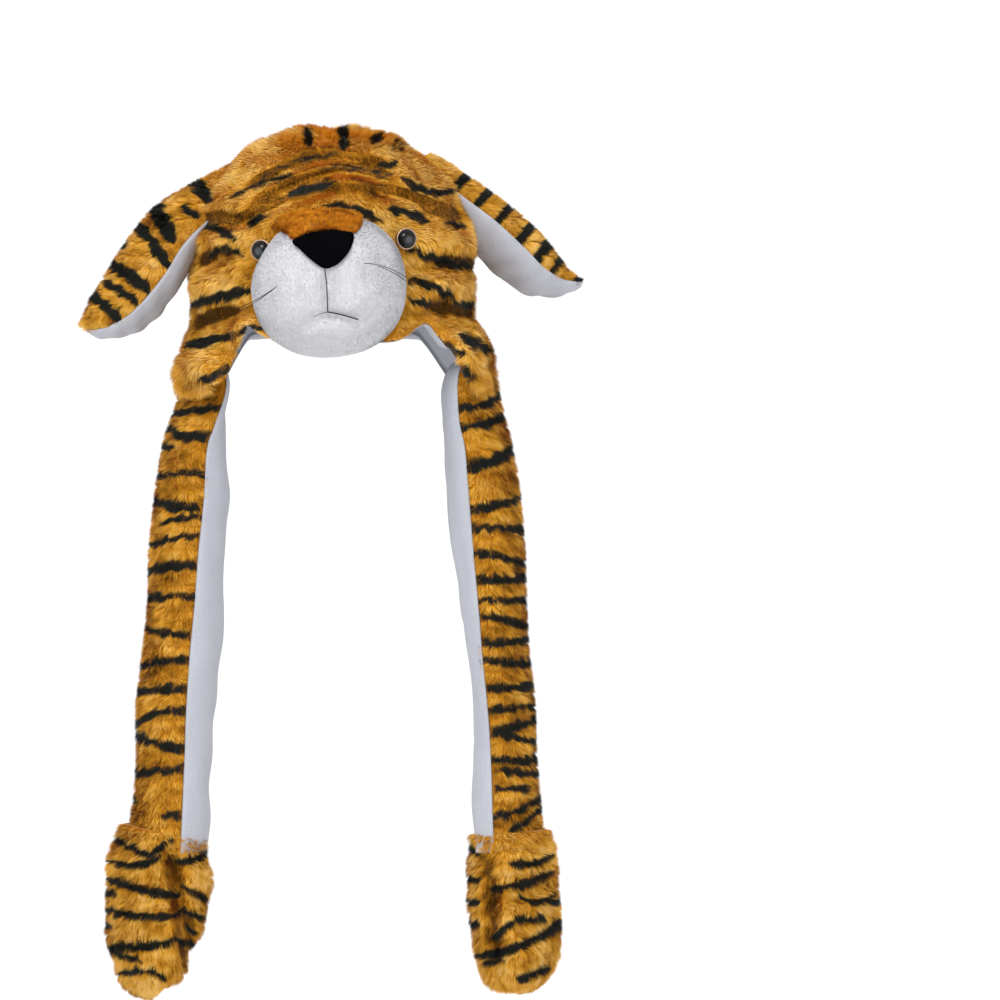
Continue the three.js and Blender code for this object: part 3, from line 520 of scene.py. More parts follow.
def push_out(points, inset):
    """Moves what lies deeper than inset in the crown out to that depth: along the ray from the
    dome's centre above the equator, and straight out from the axis below it."""
    half_width = CROWN_HALF_WIDTH - inset
    half_depth = CROWN_HALF_DEPTH - inset
    above = np.maximum(0, points[..., 2] - EQUATOR_Z)
    flat = (points[..., 0] / half_width) ** 2 + (points[..., 1] / half_depth) ** 2
    whole = flat + (above / (DOME_HEIGHT - inset)) ** 2
    grow = np.where(whole < 1, 1 / np.sqrt(np.maximum(whole, 1e-4)), 1)
    moved = points.copy()
    moved[..., :2] *= grow[..., None]
    moved[..., 2] = np.where(above > 0, EQUATOR_Z + above * grow, points[..., 2])
    return moved


def inside_crown(points, inset):
    """Whether points lie inside the crown's surface at a depth, above the rim."""
    above = np.maximum(0, points[..., 2] - EQUATOR_Z)
    half_width = CROWN_HALF_WIDTH - inset
    half_depth = CROWN_HALF_DEPTH - inset
    flat = (points[..., 0] / half_width) ** 2 + (points[..., 1] / half_depth) ** 2
    azimuth = np.degrees(np.arctan2(points[..., 0], -points[..., 1]))
    return (flat + (above / (DOME_HEIGHT - inset)) ** 2 < 1) & (points[..., 2] > rim_at(azimuth))


def limb_points(table, position, angle, inset, outward):
    """A soft limb: at each position of its table an ellipse across the spine, turned about it, and
    bent by its bow. Angle 0 is the front seam, 90 the middle of the fur side."""
    row = columns_at(table, position)
    last = len(table) - 1
    step = 0.05
    ahead = columns_at(table, np.minimum(last, position + step))[:, :3]
    along = unit(ahead - columns_at(table, np.maximum(0, position - step))[:, :3])
    across = unit(FRONT - (along @ FRONT)[:, None] * along)
    out = np.cross(along, across)
    out = out * np.sign(out @ outward)[:, None]
    turn = np.radians(row[:, 5:6])
    front = across * np.cos(turn) - out * np.sin(turn)
    side = out * np.cos(turn) + across * np.sin(turn)
    a = np.radians(angle)
    width = np.maximum(0.6, row[:, 3:4] - inset)
    thickness = np.maximum(0.4, row[:, 4:5] - inset)
    u = width * np.cos(a)
    n = thickness * np.sin(a) - row[:, 6:7] * np.cos(a) ** 2
    return row[:, None, :3] + front[:, None] * u[..., None] + side[:, None] * n[..., None]


def from_muzzle(points):
    """Turns and moves points from the muzzle's own centre to its place on the face."""
    c = np.cos(np.radians(MUZZLE.turn))
    s = np.sin(np.radians(MUZZLE.turn))
    x, y, z = np.moveaxis(points, -1, 0)
    return np.stack([x * c - z * s + MUZZLE.x, y, x * s + z * c + MUZZLE.z], -1)


def to_muzzle(x, z):
    """Front view places as places from the muzzle's own centre."""
    c = np.cos(np.radians(MUZZLE.turn))
    s = np.sin(np.radians(MUZZLE.turn))
    return (x - MUZZLE.x) * c + (z - MUZZLE.z) * s, -(x - MUZZLE.x) * s + (z - MUZZLE.z) * c


def muzzle_taper(x, z):
    """What is left of the muzzle's half width: less towards the top of its left side."""
    return 1 - MUZZLE.taper * smoothstep(0, MUZZLE.taper_to, z) * (x < 0)


def muzzle_ring(x, z, lift=0.0):
    """0 at the muzzle's middle and 1 on its outline: the norm of a superellipse, tapered."""
    flat = np.abs(x / ((MUZZLE.half_width + lift) * muzzle_taper(x, z))) ** MUZZLE.squareness
    tall = np.abs(z / (MUZZLE.half_height + lift)) ** MUZZLE.squareness
    return (flat + tall) ** (1 / MUZZLE.squareness)


def muzzle_y(x, z, lift):
    """The muzzle's depth at places from its centre: the seat, less the swell of a full dome."""
    ring = np.minimum(1, muzzle_ring(x, z, lift))
    swell = np.arcsin(ring ** (1 / MUZZLE.fullness))
    height = MUZZLE.seat_y - MUZZLE.front_y + fold_height(MUZZLE_DENTS, x, z) + lift
    return MUZZLE.seat_y - height * np.cos(swell) ** MUZZLE.fullness


def crown_front_y(x, z, inset):
    """The crown's front face at a front view place, set in by inset."""
    above = np.maximum(0, z - EQUATOR_Z)
    left = 1 - (x / (CROWN_HALF_WIDTH - inset)) ** 2 - (above / (DOME_HEIGHT - inset)) ** 2
    return -(CROWN_HALF_DEPTH - inset) * np.sqrt(np.clip(left, 0.01, 1))


def face_points(x, z, lift):
    """The face's surface at places from the muzzle's centre: the muzzle's dome run into the crown."""
    own = from_muzzle(np.stack([x, np.zeros_like(x), z], -1))
    ring = muzzle_ring(x, z)
    dome = muzzle_y(x, z, lift) + 60 * np.maximum(0, ring - 1)
    crown = crown_front_y(own[..., 0], own[..., 2], -lift)
    own[..., 1] = -smooth_max(-dome, -crown, 5)
    return own


def closed_outline(table, count):
    """A closed smooth curve through a table of places, evenly stepped by row."""
    table = np.asarray(table, float)
    position = np.linspace(0, len(table), count, endpoint=False)
    row = np.floor(position).astype(int)
    t = (position - row)[:, None]
    a, b, c, d = (table[(row + k) % len(table)] for k in (-1, 0, 1, 2))
    return b + 0.5 * t * (c - a + t * (2 * a - 5 * b + 4 * c - d + t * (3 * (b - c) + d - a)))


# Meshes


def grid_faces(rows, columns, wrap):
    """Four-sided faces of a grid of points, closed round its columns where wrap is true."""
    r = np.arange(rows - 1)[:, None] * columns
    c = np.arange(columns if wrap else columns - 1)[None]
    after = (c + 1) % columns
    return np.stack([r + c, r + after, r + columns + after, r + columns + c], -1).reshape(-1, 4)


def closed_tube(points):
    """A tube's rings as one closed mesh: a pole in the middle of its first and of its last ring."""
    rows, columns = points.shape[:2]
    flat = points.reshape(-1, 3)
    poles = [points[0].mean(0), points[-1].mean(0)]
    c = np.arange(columns)
    after = (c + 1) % columns
    base = (rows - 1) * columns
    first = np.stack([np.full(columns, len(flat)), after, c], -1)
    final = np.stack([np.full(columns, len(flat) + 1), base + c, base + after], -1)
    return np.vstack([flat, poles]), [grid_faces(rows, columns, True), first, final]


def closed_slab(outer, inner):
    """Two like grids of points as the faces of one closed sheet with square edges."""
    rows, columns = outer.shape[:2]
    ring = np.concatenate([outer, inner[:, ::-1]], 1)
    around = 2 * columns
    c = np.arange(columns - 1)
    cap = np.stack([c + 1, c, around - 1 - c, around - 2 - c], -1)
    base = (rows - 1) * around
    return ring.reshape(-1, 3), [grid_faces(rows, around, True), cap, base + cap[:, ::-1]]


def signed_volume(points, faces):
    """Volume inside a mesh, negative where its faces point inwards."""
    total = 0.0
    for patch in faces:
        for k in range(1, patch.shape[1] - 1):
            a, b, c = points[patch[:, 0]], points[patch[:, k]], points[patch[:, k + 1]]
            total += np.einsum("ij,ij->", a, np.cross(b, c)) / 6
    return total


def new_mesh(name, points, faces):
    """A mesh from points in millimetres and arrays of faces, each with its own count of corners."""
    corners = np.concatenate([patch.ravel() for patch in faces])
    totals = np.concatenate([np.full(len(patch), patch.shape[1]) for patch in faces])
    starts = np.concatenate([[0], np.cumsum(totals)[:-1]])
    mesh = bpy.data.meshes.new(name)
    mesh.vertices.add(len(points))
    mesh.vertices.foreach_set("co", (points * MM).astype(np.float32).ravel())
    mesh.loops.add(len(corners))
    mesh.loops.foreach_set("vertex_index", corners.astype(np.int32))
    mesh.polygons.add(len(starts))
    mesh.polygons.foreach_set("loop_start", starts.astype(np.int32))
    mesh.update(calc_edges=True)
    mesh.shade_smooth()
    return mesh


def place_piece(name, mesh, material, replaced=()):
    """An object for a mesh, riding on the hat's one body."""
    piece = bpy.data.objects.new(name, mesh)
    bpy.context.scene.collection.objects.link(piece)
    mesh.materials.append(material)
    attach(piece, BODY)
    if replaced:
        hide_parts(*replaced)
    return piece


def closed_piece(name, shape, material, replaced=(), pattern=None):
    """A closed piece with its faces outwards, and its pattern as an attribute."""
    points, faces = shape
    if signed_volume(points, faces) < 0:
        faces = [patch[:, ::-1] for patch in faces]
    mesh = new_mesh(name, points, faces)
    if pattern is not None:
        layer = mesh.attributes.new(PATTERN, "FLOAT", "POINT")
        layer.data.foreach_set("value", pattern(points).astype(np.float32))
    return place_piece(name, mesh, material, replaced)


# Pile


def patch_of(points, lays, wrap):
    """A grid's points, outward normals and lays, with its first column repeated where it wraps."""
    if wrap:
        points = np.concatenate([points, points[:, :1]], 1)
        lays = np.concatenate([lays, lays[:, :1]], 1)
    down = np.gradient(points, axis=0)
    round_ = np.gradient(points, axis=1)
    if wrap:
        round_[:, 0] = round_[:, -1] = points[:, 1] - points[:, -2]
    normals = unit(np.cross(round_, down))
    centres = points[:, :-1].mean(1, keepdims=True)
    normals *= np.sign(np.sum(normals * (points - centres)))
    return SimpleNamespace(points=points, normals=normals, lays=lays)


def scatter(patch, count, seed):
    """Roots spread over a patch by area: cells are drawn in step with their running area, and each
    root is a weighted mean of its cell's corners. u and v are the shares down and across."""
    rng = np.random.default_rng(seed)
    p = patch.points
    area = np.linalg.norm(np.cross(p[1:, :-1] - p[:-1, :-1], p[:-1, 1:] - p[:-1, :-1]), axis=-1)
    running = np.cumsum(area.ravel())
    draw = (np.arange(count) + rng.random(count)) / count * running[-1]
    cell = np.minimum(np.searchsorted(running, draw), area.size - 1)
    row, column = np.divmod(cell, area.shape[1])
    s = rng.random(count)
    t = rng.random(count)

    def blend(grid):
        top = grid[row, column] * (1 - t)[:, None] + grid[row, column + 1] * t[:, None]
        low = grid[row + 1, column] * (1 - t)[:, None] + grid[row + 1, column + 1] * t[:, None]
        return top * (1 - s)[:, None] + low * s[:, None]

    return SimpleNamespace(
        points=blend(patch.points), normals=unit(blend(patch.normals)), lays=unit(blend(patch.lays)),
        u=(row + s) / area.shape[0], v=(column + t) / area.shape[1])


def keep(roots, mask):
    """Only the roots where mask is true."""
    return SimpleNamespace(**{name: values[mask] for name, values in vars(roots).items()})


def cell_groups(points, size):
    """The number of the cubic cell that each point lies in, and how many points each cell has."""
    group = np.unique(np.floor(points / size).astype(int), axis=0, return_inverse=True)[1].ravel()
    return group, np.bincount(group)


def group_means(values, group, size):
    """For each point the mean of its group's values."""
    return np.stack([np.bincount(group, values[:, k]) / size for k in range(3)], -1)[group]


def strand_points(roots, length, width, pile, seed):
    """Slender three-cornered strands of pile. Each leans from the cloth along its lay, and its tip is
    drawn towards the middle of its tuft's tips, and a little towards that of the small lock within it.
    Each tuft has a tilt of its own. The normals are mostly the cloth's, so that the pile looks soft."""
    rng = np.random.default_rng(seed)
    count = len(roots.points)
    normal = roots.normals
    lay = unit(roots.lays - np.sum(roots.lays * normal, -1, keepdims=True) * normal)
    yaw = np.radians(rng.normal(0, pile.ruffle, count) + 22 * waves(roots.points, 40, seed + 1))[:, None]
    lay = lay * np.cos(yaw) + np.cross(normal, lay) * np.sin(yaw)
    side = np.cross(normal, lay)
    rise = np.radians(rng.normal(pile.lift, 9, count))[:, None]
    length = (length * np.ones(count))[:, None]
    reach = length * rng.uniform(*REACH, (count, 1))
    base = roots.points - ROOT_SINK * normal
    tip = base + reach * (lay * np.cos(rise) + normal * np.sin(rise))

    drift = 1.6 * np.stack([waves(roots.points, 13, seed + k) for k in (2, 3, 4)], -1)
    lock, lock_size = cell_groups(roots.points + drift, LOCK_SIZE * pile.tuft)
    tuft, tuft_size = cell_groups(roots.points + drift, pile.tuft)
    toss = rng.normal(0, 1, (len(tuft_size), 3))[tuft]
    toss -= 0.6 * np.sum(toss * normal, -1, keepdims=True) * normal
    pull = pile.gather * rng.uniform(0.4, 1.1, (count, 1))
    tip = tip + LOCK_GATHER * (group_means(tip, lock, lock_size) - tip)
    tip = tip + pull * (group_means(tip, tuft, tuft_size) - tip) + TOSS * length * toss

    roll = np.radians(rng.normal(0, 22, count))[:, None]
    flat = unit(side * np.cos(roll) + np.cross(side, unit(tip - base)) * np.sin(roll))
    half = 0.5 * width * rng.uniform(0.75, 1.25, count)[:, None]
    points = np.stack([base - half * flat, base + half * flat, tip], 1)
    shade = unit(normal * 0.85 - lay * 0.1 + toss * pile.tousle)
    lean = 0.15 * flat
    normals = unit(np.stack([shade - lean, shade + lean, shade], 1))
    return points, normals


def pile_piece(name, roots, material, length, width, seed, pile, cover=None, shade=0.0):
    """The strands of one piece as a mesh. Its map holds how striped a strand is where it shows, across,
    and its tint and how far along it a point is, up. cover gives the stripes at the places where the
    strands show, and shade, a number or a function of those places, adds to their tints: a tint of the
    whole piece, and on the crown and paws also painted shade in the folds and painted light on their crests."""
    points, normals = strand_points(roots, length, width, pile, seed)
    count = len(points)
    rng = np.random.default_rng(seed + 9)
    start = np.arange(count)[:, None] * 3
    mesh = new_mesh(name, points.reshape(-1, 3), [start + np.array([1, 0, 2])])
    seen = 0.1 * (points[:, 0] + points[:, 1]) + 0.8 * points[:, 2]
    stripe = np.zeros(count) if cover is None else cover(seen)
    across = (0.03 + 0.94 * stripe)[:, None]
    wide = waves(roots.points, pile.tint_wave, seed + 6)
    small = waves(roots.points, 10, seed + 7)
    mood = 0.55 + 0.15 * wide + 0.13 * small
    # shade brings painted shade and painted light on the crown and paws, and a plain tint on the flaps
    mood += rng.normal(0, 0.11, count) + (shade(seen) if callable(shade) else shade)
    band = np.clip(np.floor(mood * PILE_BANDS), 0, PILE_BANDS - 1)[:, None]
    edge = 0.004
    u = across + edge * np.array([1, -1, 0])
    v = (band + np.array([0.04, 0.04, 0.96])) / PILE_BANDS
    layer = mesh.uv_layers.new(name=BAKE_MAP)
    layer.data.foreach_set("uv", np.stack([u, v], -1).astype(np.float32).ravel())
    mesh.normals_split_custom_set_from_vertices(normals.reshape(-1, 3).tolist())
    return place_piece(name, mesh, material)


# Stripes


def crown_stripe(points):
    """Front stripes from their table; rings of broken stripes round the back of the head."""
    wobble = 1.1 * waves(points, 11, 21)
    x, y, z = points[..., 0] + wobble, points[..., 1], points[..., 2] + wobble
    front = stripe_cover(CROWN_STRIPES, x, z)
    polar = np.arccos(np.clip((z - EQUATOR_Z) / DOME_HEIGHT, 0, 1))
    travel = 92 * polar + np.maximum(0, EQUATOR_Z - z)
    azimuth = np.arctan2(x, -y)
    phase = (travel + 6 * np.sin(2 * azimuth + 0.7) + 3.5 * waves(points, 60, 22)) / BACK_STRIPE_SPACING
    distance = np.abs(phase - np.floor(phase) - 0.5) * BACK_STRIPE_SPACING
    width = BACK_STRIPE_HALF_WIDTH + 1.9 * waves(points, 62, 23)
    back = np.clip((width - distance) / STRIPE_EDGE + 0.5, 0, 1)
    facing = smoothstep(30, 2, y)
    return np.maximum(front * facing, back * (1 - facing))


def crown_cover(seen):
    """Stripes where the crown's pile shows them, speckled on the brow where the pile is ruffled."""
    rng = np.random.default_rng(77)
    ruffled = smoothstep(25, -30, seen[:, 1]) * smoothstep(-62, -45, seen[:, 2])
    return crown_stripe(seen) * (1 - (0.12 + 0.22 * ruffled) * rng.random(len(seen)))


def crown_tint_and_painted_shade(seen):
    """Painted shade in the creases of the face's folds and painted light on their crests, a deeper orange in
    the patch over the bridge, and a paler tint high on the brow."""
    facing = smoothstep(25, -30, seen[:, 1])
    along, across = bar_place(seen[:, 0], seen[:, 2], *FOREHEAD)
    forehead = np.exp(-np.minimum(along**4 + (across / FOREHEAD_HALF_WIDTH) ** 2, FAR))
    fold = fold_height(CROWN_FOLDS, seen[:, 0], seen[:, 2])
    brow = 0.03 + 0.28 * smoothstep(-65, -40, seen[:, 2])
    # 0.08 * fold paints shade in the hollows and light on the crests; the smoothstep paints deep shade along
    # the creases
    return facing * (brow + 0.08 * fold - 0.95 * smoothstep(-1.1, -4.4, fold) - 0.9 * forehead)


def view_stripe(stripes):
    """A function of points that gives a front view table's stripes on both faces of a piece."""

    def cover(points):
        wobble = 0.6 * waves(points, 13, 31)
        return stripe_cover(stripes, points[..., 0] + wobble, points[..., 2] + wobble)

    return cover


def flap_stripe(side, points, angle):
    """Stripes across a flap: each runs from its height at the front seam to that at the outer side."""
    z = points[..., 2] + 0.9 * waves(points, 12, 41)
    share = angle / OUTER_SIDE
    ease = smoothstep(0, 1, share)
    cover = np.zeros_like(z)
    for seam_z, outer_z, half_width, begin, end in FLAP_STRIPES[side]:
        middle = seam_z + (outer_z - seam_z) * ease + 0.8 * np.sin(3.3 * share + seam_z)
        within = smoothstep(end + 0.08, end - 0.05, share)
        if begin > 0:
            within = np.minimum(smoothstep(begin - 0.08, begin + 0.05, share), within)
        width = half_width * (1 + 0.2 * waves(points, 30, 42)) * within
        inside = np.clip((width - np.abs(z - middle)) / STRIPE_EDGE + 0.5, 0, 1)
        cover = np.maximum(cover, inside * (within > 0.05))
    return cover


# Materials


def new_material(name):
    """A material with its nodes, its links and its shader."""
    material = bpy.data.materials.new(name)
    material.use_nodes = True
    nodes = material.node_tree.nodes
    shader = nodes["Principled BSDF"]
    return material, nodes, material.node_tree.links, shader


def ramp_node(nodes, stops, interpolation="LINEAR"):
    """A colour ramp with the given stops of place and colour."""
    node = nodes.new("ShaderNodeValToRGB")
    node.color_ramp.interpolation = interpolation
    elements = node.color_ramp.elements
    while len(elements) < len(stops):
        elements.new(1.0)
    for element, (place, _) in zip(elements, stops):
        element.position = place
    for element, (_, colour) in zip(elements, stops):
        element.color = (*tuple(colour)[:3], 1.0)
    return node


def mix_node(nodes, links, blend, factor, a, b):
    """A colour mix; each input is a socket, a number or a colour."""
    node = nodes.new("ShaderNodeMix")
    node.data_type = "RGBA"
    node.blend_type = blend
    for socket, value in ((node.inputs[0], factor), (node.inputs[6], a), (node.inputs[7], b)):
        if isinstance(value, bpy.types.NodeSocket):
            links.new(value, socket)
        elif isinstance(value, (int, float)):
            socket.default_value = value
        else:
            socket.default_value = (*tuple(value)[:3], 1.0)
    return node.outputs[2]


def math_node(nodes, links, operation, a, b=0.0):
    """A sum or the like; each input is a socket or a number."""
    node = nodes.new("ShaderNodeMath")
    node.operation = operation
    for socket, value in zip(node.inputs, (a, b)):
        if isinstance(value, bpy.types.NodeSocket):
            links.new(value, socket)
        else:
            socket.default_value = value
    return node.outputs[0]


def grey(value):
    """A colour with no hue."""
    return (value, value, value)


def pile_material(name, root, middle, tip, tints, stripe=None, stripe_edge=None, sheen=0.03):
    """Pile coloured by its map: root, middle and tip along a strand, a tint for each band, and the
    stripe's charcoal through its olive edge."""
    material, nodes, links, shader = new_material(name)
    uv = nodes.new("ShaderNodeUVMap")
    uv.uv_map = BAKE_MAP
    split = nodes.new("ShaderNodeSeparateXYZ")
    links.new(uv.outputs["UV"], split.inputs[0])
    bands = math_node(nodes, links, "MULTIPLY", split.outputs[1], PILE_BANDS)
    along = math_node(nodes, links, "FRACT", bands)
    body = ramp_node(nodes, ((0.0, root), (0.5, middle), (1.0, tip)))
    links.new(along, body.inputs[0])
    tint = ramp_node(nodes, [(k / PILE_BANDS, colour) for k, colour in enumerate(tints)], "CONSTANT")
    links.new(split.outputs[1], tint.inputs[0])
    colour = mix_node(nodes, links, "MULTIPLY", 1.0, body.outputs[0], tint.outputs[0])
    if stripe is not None:
        brown = ramp_node(nodes, ((0.08, grey(0.0)), (0.42, grey(1.0))))
        dark = ramp_node(nodes, ((0.34, grey(0.0)), (0.66, grey(1.0))))
        links.new(split.outputs[0], brown.inputs[0])
        links.new(split.outputs[0], dark.inputs[0])
        colour = mix_node(nodes, links, "MIX", brown.outputs[0], colour, stripe_edge)
        colour = mix_node(nodes, links, "MIX", dark.outputs[0], colour, stripe)
    links.new(colour, shader.inputs["Base Color"])
    shader.inputs["Roughness"].default_value = 0.7
    shader.inputs["Specular IOR Level"].default_value = 0.06
    shader.inputs["Sheen Weight"].default_value = sheen
    shader.inputs["Sheen Roughness"].default_value = 0.45
    return material


def cloth_material(name, base, shade, grain=0.0007, depth=0.0004, stripe=None, sheen=0.1, gleam=0.15):
    """Cloth with a fine grain and soft patches on Object coordinates, striped by its attribute."""
    material, nodes, links, shader = new_material(name)
    place = nodes.new("ShaderNodeTexCoord")
    fine = nodes.new("ShaderNodeTexNoise")
    fine.inputs["Scale"].default_value = 1 / grain
    fine.inputs["Detail"].default_value = 3.0
    wide = nodes.new("ShaderNodeTexNoise")
    wide.inputs["Scale"].default_value = 45.0
    for noise in (fine, wide):
        links.new(place.outputs["Object"], noise.inputs["Vector"])
    patches = ramp_node(nodes, ((0.3, grey(0.0)), (0.7, grey(1.0))))
    links.new(wide.outputs[0], patches.inputs[0])
    colour = mix_node(nodes, links, "MIX", patches.outputs[0], base, shade)
    speckle = ramp_node(nodes, ((0.25, grey(0.86)), (0.7, grey(1.0))))
    links.new(fine.outputs[0], speckle.inputs[0])
    colour = mix_node(nodes, links, "MULTIPLY", 1.0, colour, speckle.outputs[0])
    if stripe is not None:
        amount = nodes.new("ShaderNodeAttribute")
        amount.attribute_name = PATTERN
        colour = mix_node(nodes, links, "MIX", amount.outputs["Fac"], colour, stripe)
    links.new(colour, shader.inputs["Base Color"])
    bump = nodes.new("ShaderNodeBump")
    bump.inputs["Strength"].default_value = 0.6
    bump.inputs["Distance"].default_value = depth
    links.new(fine.outputs[0], bump.inputs["Height"])
    links.new(bump.outputs[0], shader.inputs["Normal"])
    shader.inputs["Roughness"].default_value = 0.95
    shader.inputs["Specular IOR Level"].default_value = gleam
    shader.inputs["Sheen Weight"].default_value = sheen
    return material


def gloss_material(name, base, roughness, metallic=0.0, centre=None):
    """Hard and shiny, with faint uneven roughness on Object coordinates, and a painted highlight of its own
    colour where the pattern is high."""
    material, nodes, links, shader = new_material(name)
    place = nodes.new("ShaderNodeTexCoord")
    noise = nodes.new("ShaderNodeTexNoise")
    noise.inputs["Scale"].default_value = 350.0
    links.new(place.outputs["Object"], noise.inputs["Vector"])
    dull = ramp_node(nodes, ((0.3, grey(roughness)), (0.75, grey(roughness * 1.8))))
    links.new(noise.outputs[0], dull.inputs[0])
    links.new(dull.outputs[0], shader.inputs["Roughness"])
    tone = mix_node(nodes, links, "MIX", noise.outputs[0], base, [0.7 * c for c in base])
    if centre is not None:
        amount = nodes.new("ShaderNodeAttribute")
        amount.attribute_name = PATTERN
        tone = mix_node(nodes, links, "MIX", amount.outputs["Fac"], tone, centre)
    links.new(tone, shader.inputs["Base Color"])
    shader.inputs["Metallic"].default_value = metallic
    shader.inputs["Specular IOR Level"].default_value = 0.2
    return material


# Tints of the bands of long pile, from the darkest to the palest, and those of the white plush. On the
# crown and paws the darkest bands also carry painted shade in the creases, and the palest painted light
# on the folds' crests
TINTS = (
    (0.115, 0.10, 0.10), (0.36, 0.28, 0.16), (0.64, 0.54, 0.36), (0.86, 0.80, 0.68),
    (1.0, 1.0, 1.0), (1.09, 1.18, 1.7), (1.18, 1.38, 2.8), (1.24, 1.58, 4.2),
)
PALE_TINTS = tuple(grey(value) for value in (0.95, 0.965, 0.98, 0.99, 1.0, 1.005, 1.01, 1.02))


def shared_material(name, make, *values, **named):
    """The material of that name, made once."""
    return bpy.data.materials.get(name) or make(name, *values, **named)


def striped_pile():
    """The long orange pile with its charcoal stripes."""
    colours = bpy.context.scene.hat_colours
    return shared_material(
        "striped_pile", pile_material, colours.fur_root, colours.fur_middle, colours.fur_tip, TINTS,
        stripe=colours.stripe, stripe_edge=colours.stripe_edge)


def striped_cloth():
    """The cloth under the striped pile."""
    colours = bpy.context.scene.hat_colours
    root = tuple(colours.fur_root)
    return shared_material(
        "striped_cloth", cloth_material, [0.9 * c for c in root], [0.7 * c for c in root],
        stripe=colours.stripe)


def lining_fleece():
    """The smooth white fleece of every lining."""
    base = tuple(bpy.context.scene.hat_colours.lining)
    return shared_material(
        "lining_fleece", cloth_material, base, [0.95 * c for c in base], grain=0.0011, depth=0.0003)


# Pieces


class HAT_OT_stage(bpy.types.Operator):
    """Floor, white surround, soft key light and camera"""

    bl_idname = "tiger_hat.stage"
    bl_label = "Stage"

    def execute(self, context):
        scene = context.scene
        stage = scene.hat_stage
        scene.view_settings.view_transform = "Standard"
        aim = np.array(AIM)
        back = np.array([0, -np.cos(stage.elevation), np.sin(stage.elevation)])
        camera = bpy.data.objects.new("camera", bpy.data.cameras.new("camera"))
        camera.location = aim + stage.distance * back
        camera.rotation_euler = (np.pi / 2 - stage.elevation, 0, 0)
        camera.data.sensor_width = SENSOR_WIDTH
        camera.data.lens = SENSOR_WIDTH * stage.distance / PHOTO_WIDTH
        camera.data.clip_end = 100
        scene.collection.objects.link(camera)
        scene.camera = camera

        world = bpy.data.worlds.new("surround")
        world.use_nodes = True
        sky = world.node_tree.nodes["Background"]
        sky.inputs["Color"].default_value = (1, 1, 1, 1)
        sky.inputs["Strength"].default_value = stage.sky
        scene.world = world

        lamp = bpy.data.lights.new("key", "AREA")
        lamp.shape = "DISK"
        lamp.size = KEY_SIZE
        lamp.energy = stage.key_power
        key = bpy.data.objects.new("key", lamp)
        key.location = KEY_PLACE
        key.rotation_euler = np.radians(KEY_TURN)
        scene.collection.objects.link(key)

        turn = np.linspace(0, 2 * np.pi, FLOOR_CORNERS, endpoint=False)
        rim = np.stack([np.cos(turn), np.sin(turn), np.zeros_like(turn)], -1) * FLOOR_RADIUS / MM
        rim[:, 2] = FLOOR_Z / MM
        mesh = new_mesh("floor", rim, [np.arange(FLOOR_CORNERS)[None]])
        floor = bpy.data.objects.new("floor", mesh)
        scene.collection.objects.link(floor)
        material, _, _, shader = new_material("pale_floor")
        shader.inputs["Base Color"].default_value = (0.97, 0.97, 0.97, 1)
        shader.inputs["Roughness"].default_value = 0.9
        mesh.materials.append(material)
        return {"FINISHED"}


def crown_path(outer_rows, inner_rows, outer, inner, hem):
    """Down, inset, drop and relief of a shell's rows: down its outer face, half round its hem, and up
    its inside."""
    steps = 6
    arc = np.linspace(0, np.pi, steps + 2)[1:-1]
    middle = (outer + inner) / 2
    half = (inner - outer) / 2
    down = np.concatenate(
        [np.linspace(CROWN_POLE, 1, outer_rows), np.ones(steps), np.linspace(1, 0.03, inner_rows)])
    inset = np.concatenate(
        [np.full(outer_rows, outer), middle - half * np.cos(arc), np.full(inner_rows, inner)])
    drop = np.concatenate([np.zeros(outer_rows), hem * np.sin(arc), np.zeros(inner_rows)])
    fading = 0.5 + 0.5 * np.cos(arc)
    relief = np.concatenate([np.ones(outer_rows), fading, np.zeros(inner_rows)]) * FOLD_DEPTH
    return down, inset, drop, relief


def lining_path(rows, outer, inner, hem):
    """Down, inset, drop and relief of the lining's rows: down its hidden face, out under the hem as a
    lip, back, and up the face that shows."""
    arc = np.radians(np.linspace(180, 75, LIP_STEPS))
    middle = (outer + inner) / 2
    half = (inner - outer) / 2
    near = (middle - (half + 0.5) * np.cos(arc), (hem + 0.4) * np.sin(arc))
    far = (middle - (half + 3.5) * np.cos(arc[::-1]), (hem + 1.4) * np.sin(arc[::-1]))
    down = np.concatenate(
        [np.linspace(CROWN_POLE, 1, rows), np.ones(2 * LIP_STEPS), np.linspace(1, CROWN_POLE, rows)])
    inset = np.concatenate([np.full(rows, LINING_FACES[0]), near[0], far[0], np.full(rows, LINING_FACES[1])])
    drop = np.concatenate([np.zeros(rows), near[1], far[1], np.zeros(rows)])
    return down, inset, drop, np.zeros(len(down))


def free_rim(azimuth):
    """1 at the front and back of the head, 0 at its sides, where the flaps are sewn in."""
    return smoothstep(0.86, 0.8, np.abs(np.sin(np.radians(azimuth))))


def shell_points(azimuth, down, inset, drop, relief):
    """Rings of the crown along a path of rows, each lowered by its drop."""
    grid = np.broadcast_to(azimuth[None], (len(down), len(azimuth)))
    one = np.ones(len(azimuth))
    points = crown_points(grid, down[:, None] * one, inset[:, None] * one, relief[:, None] * one)
    points[..., 2] -= drop[:, None]
    return points


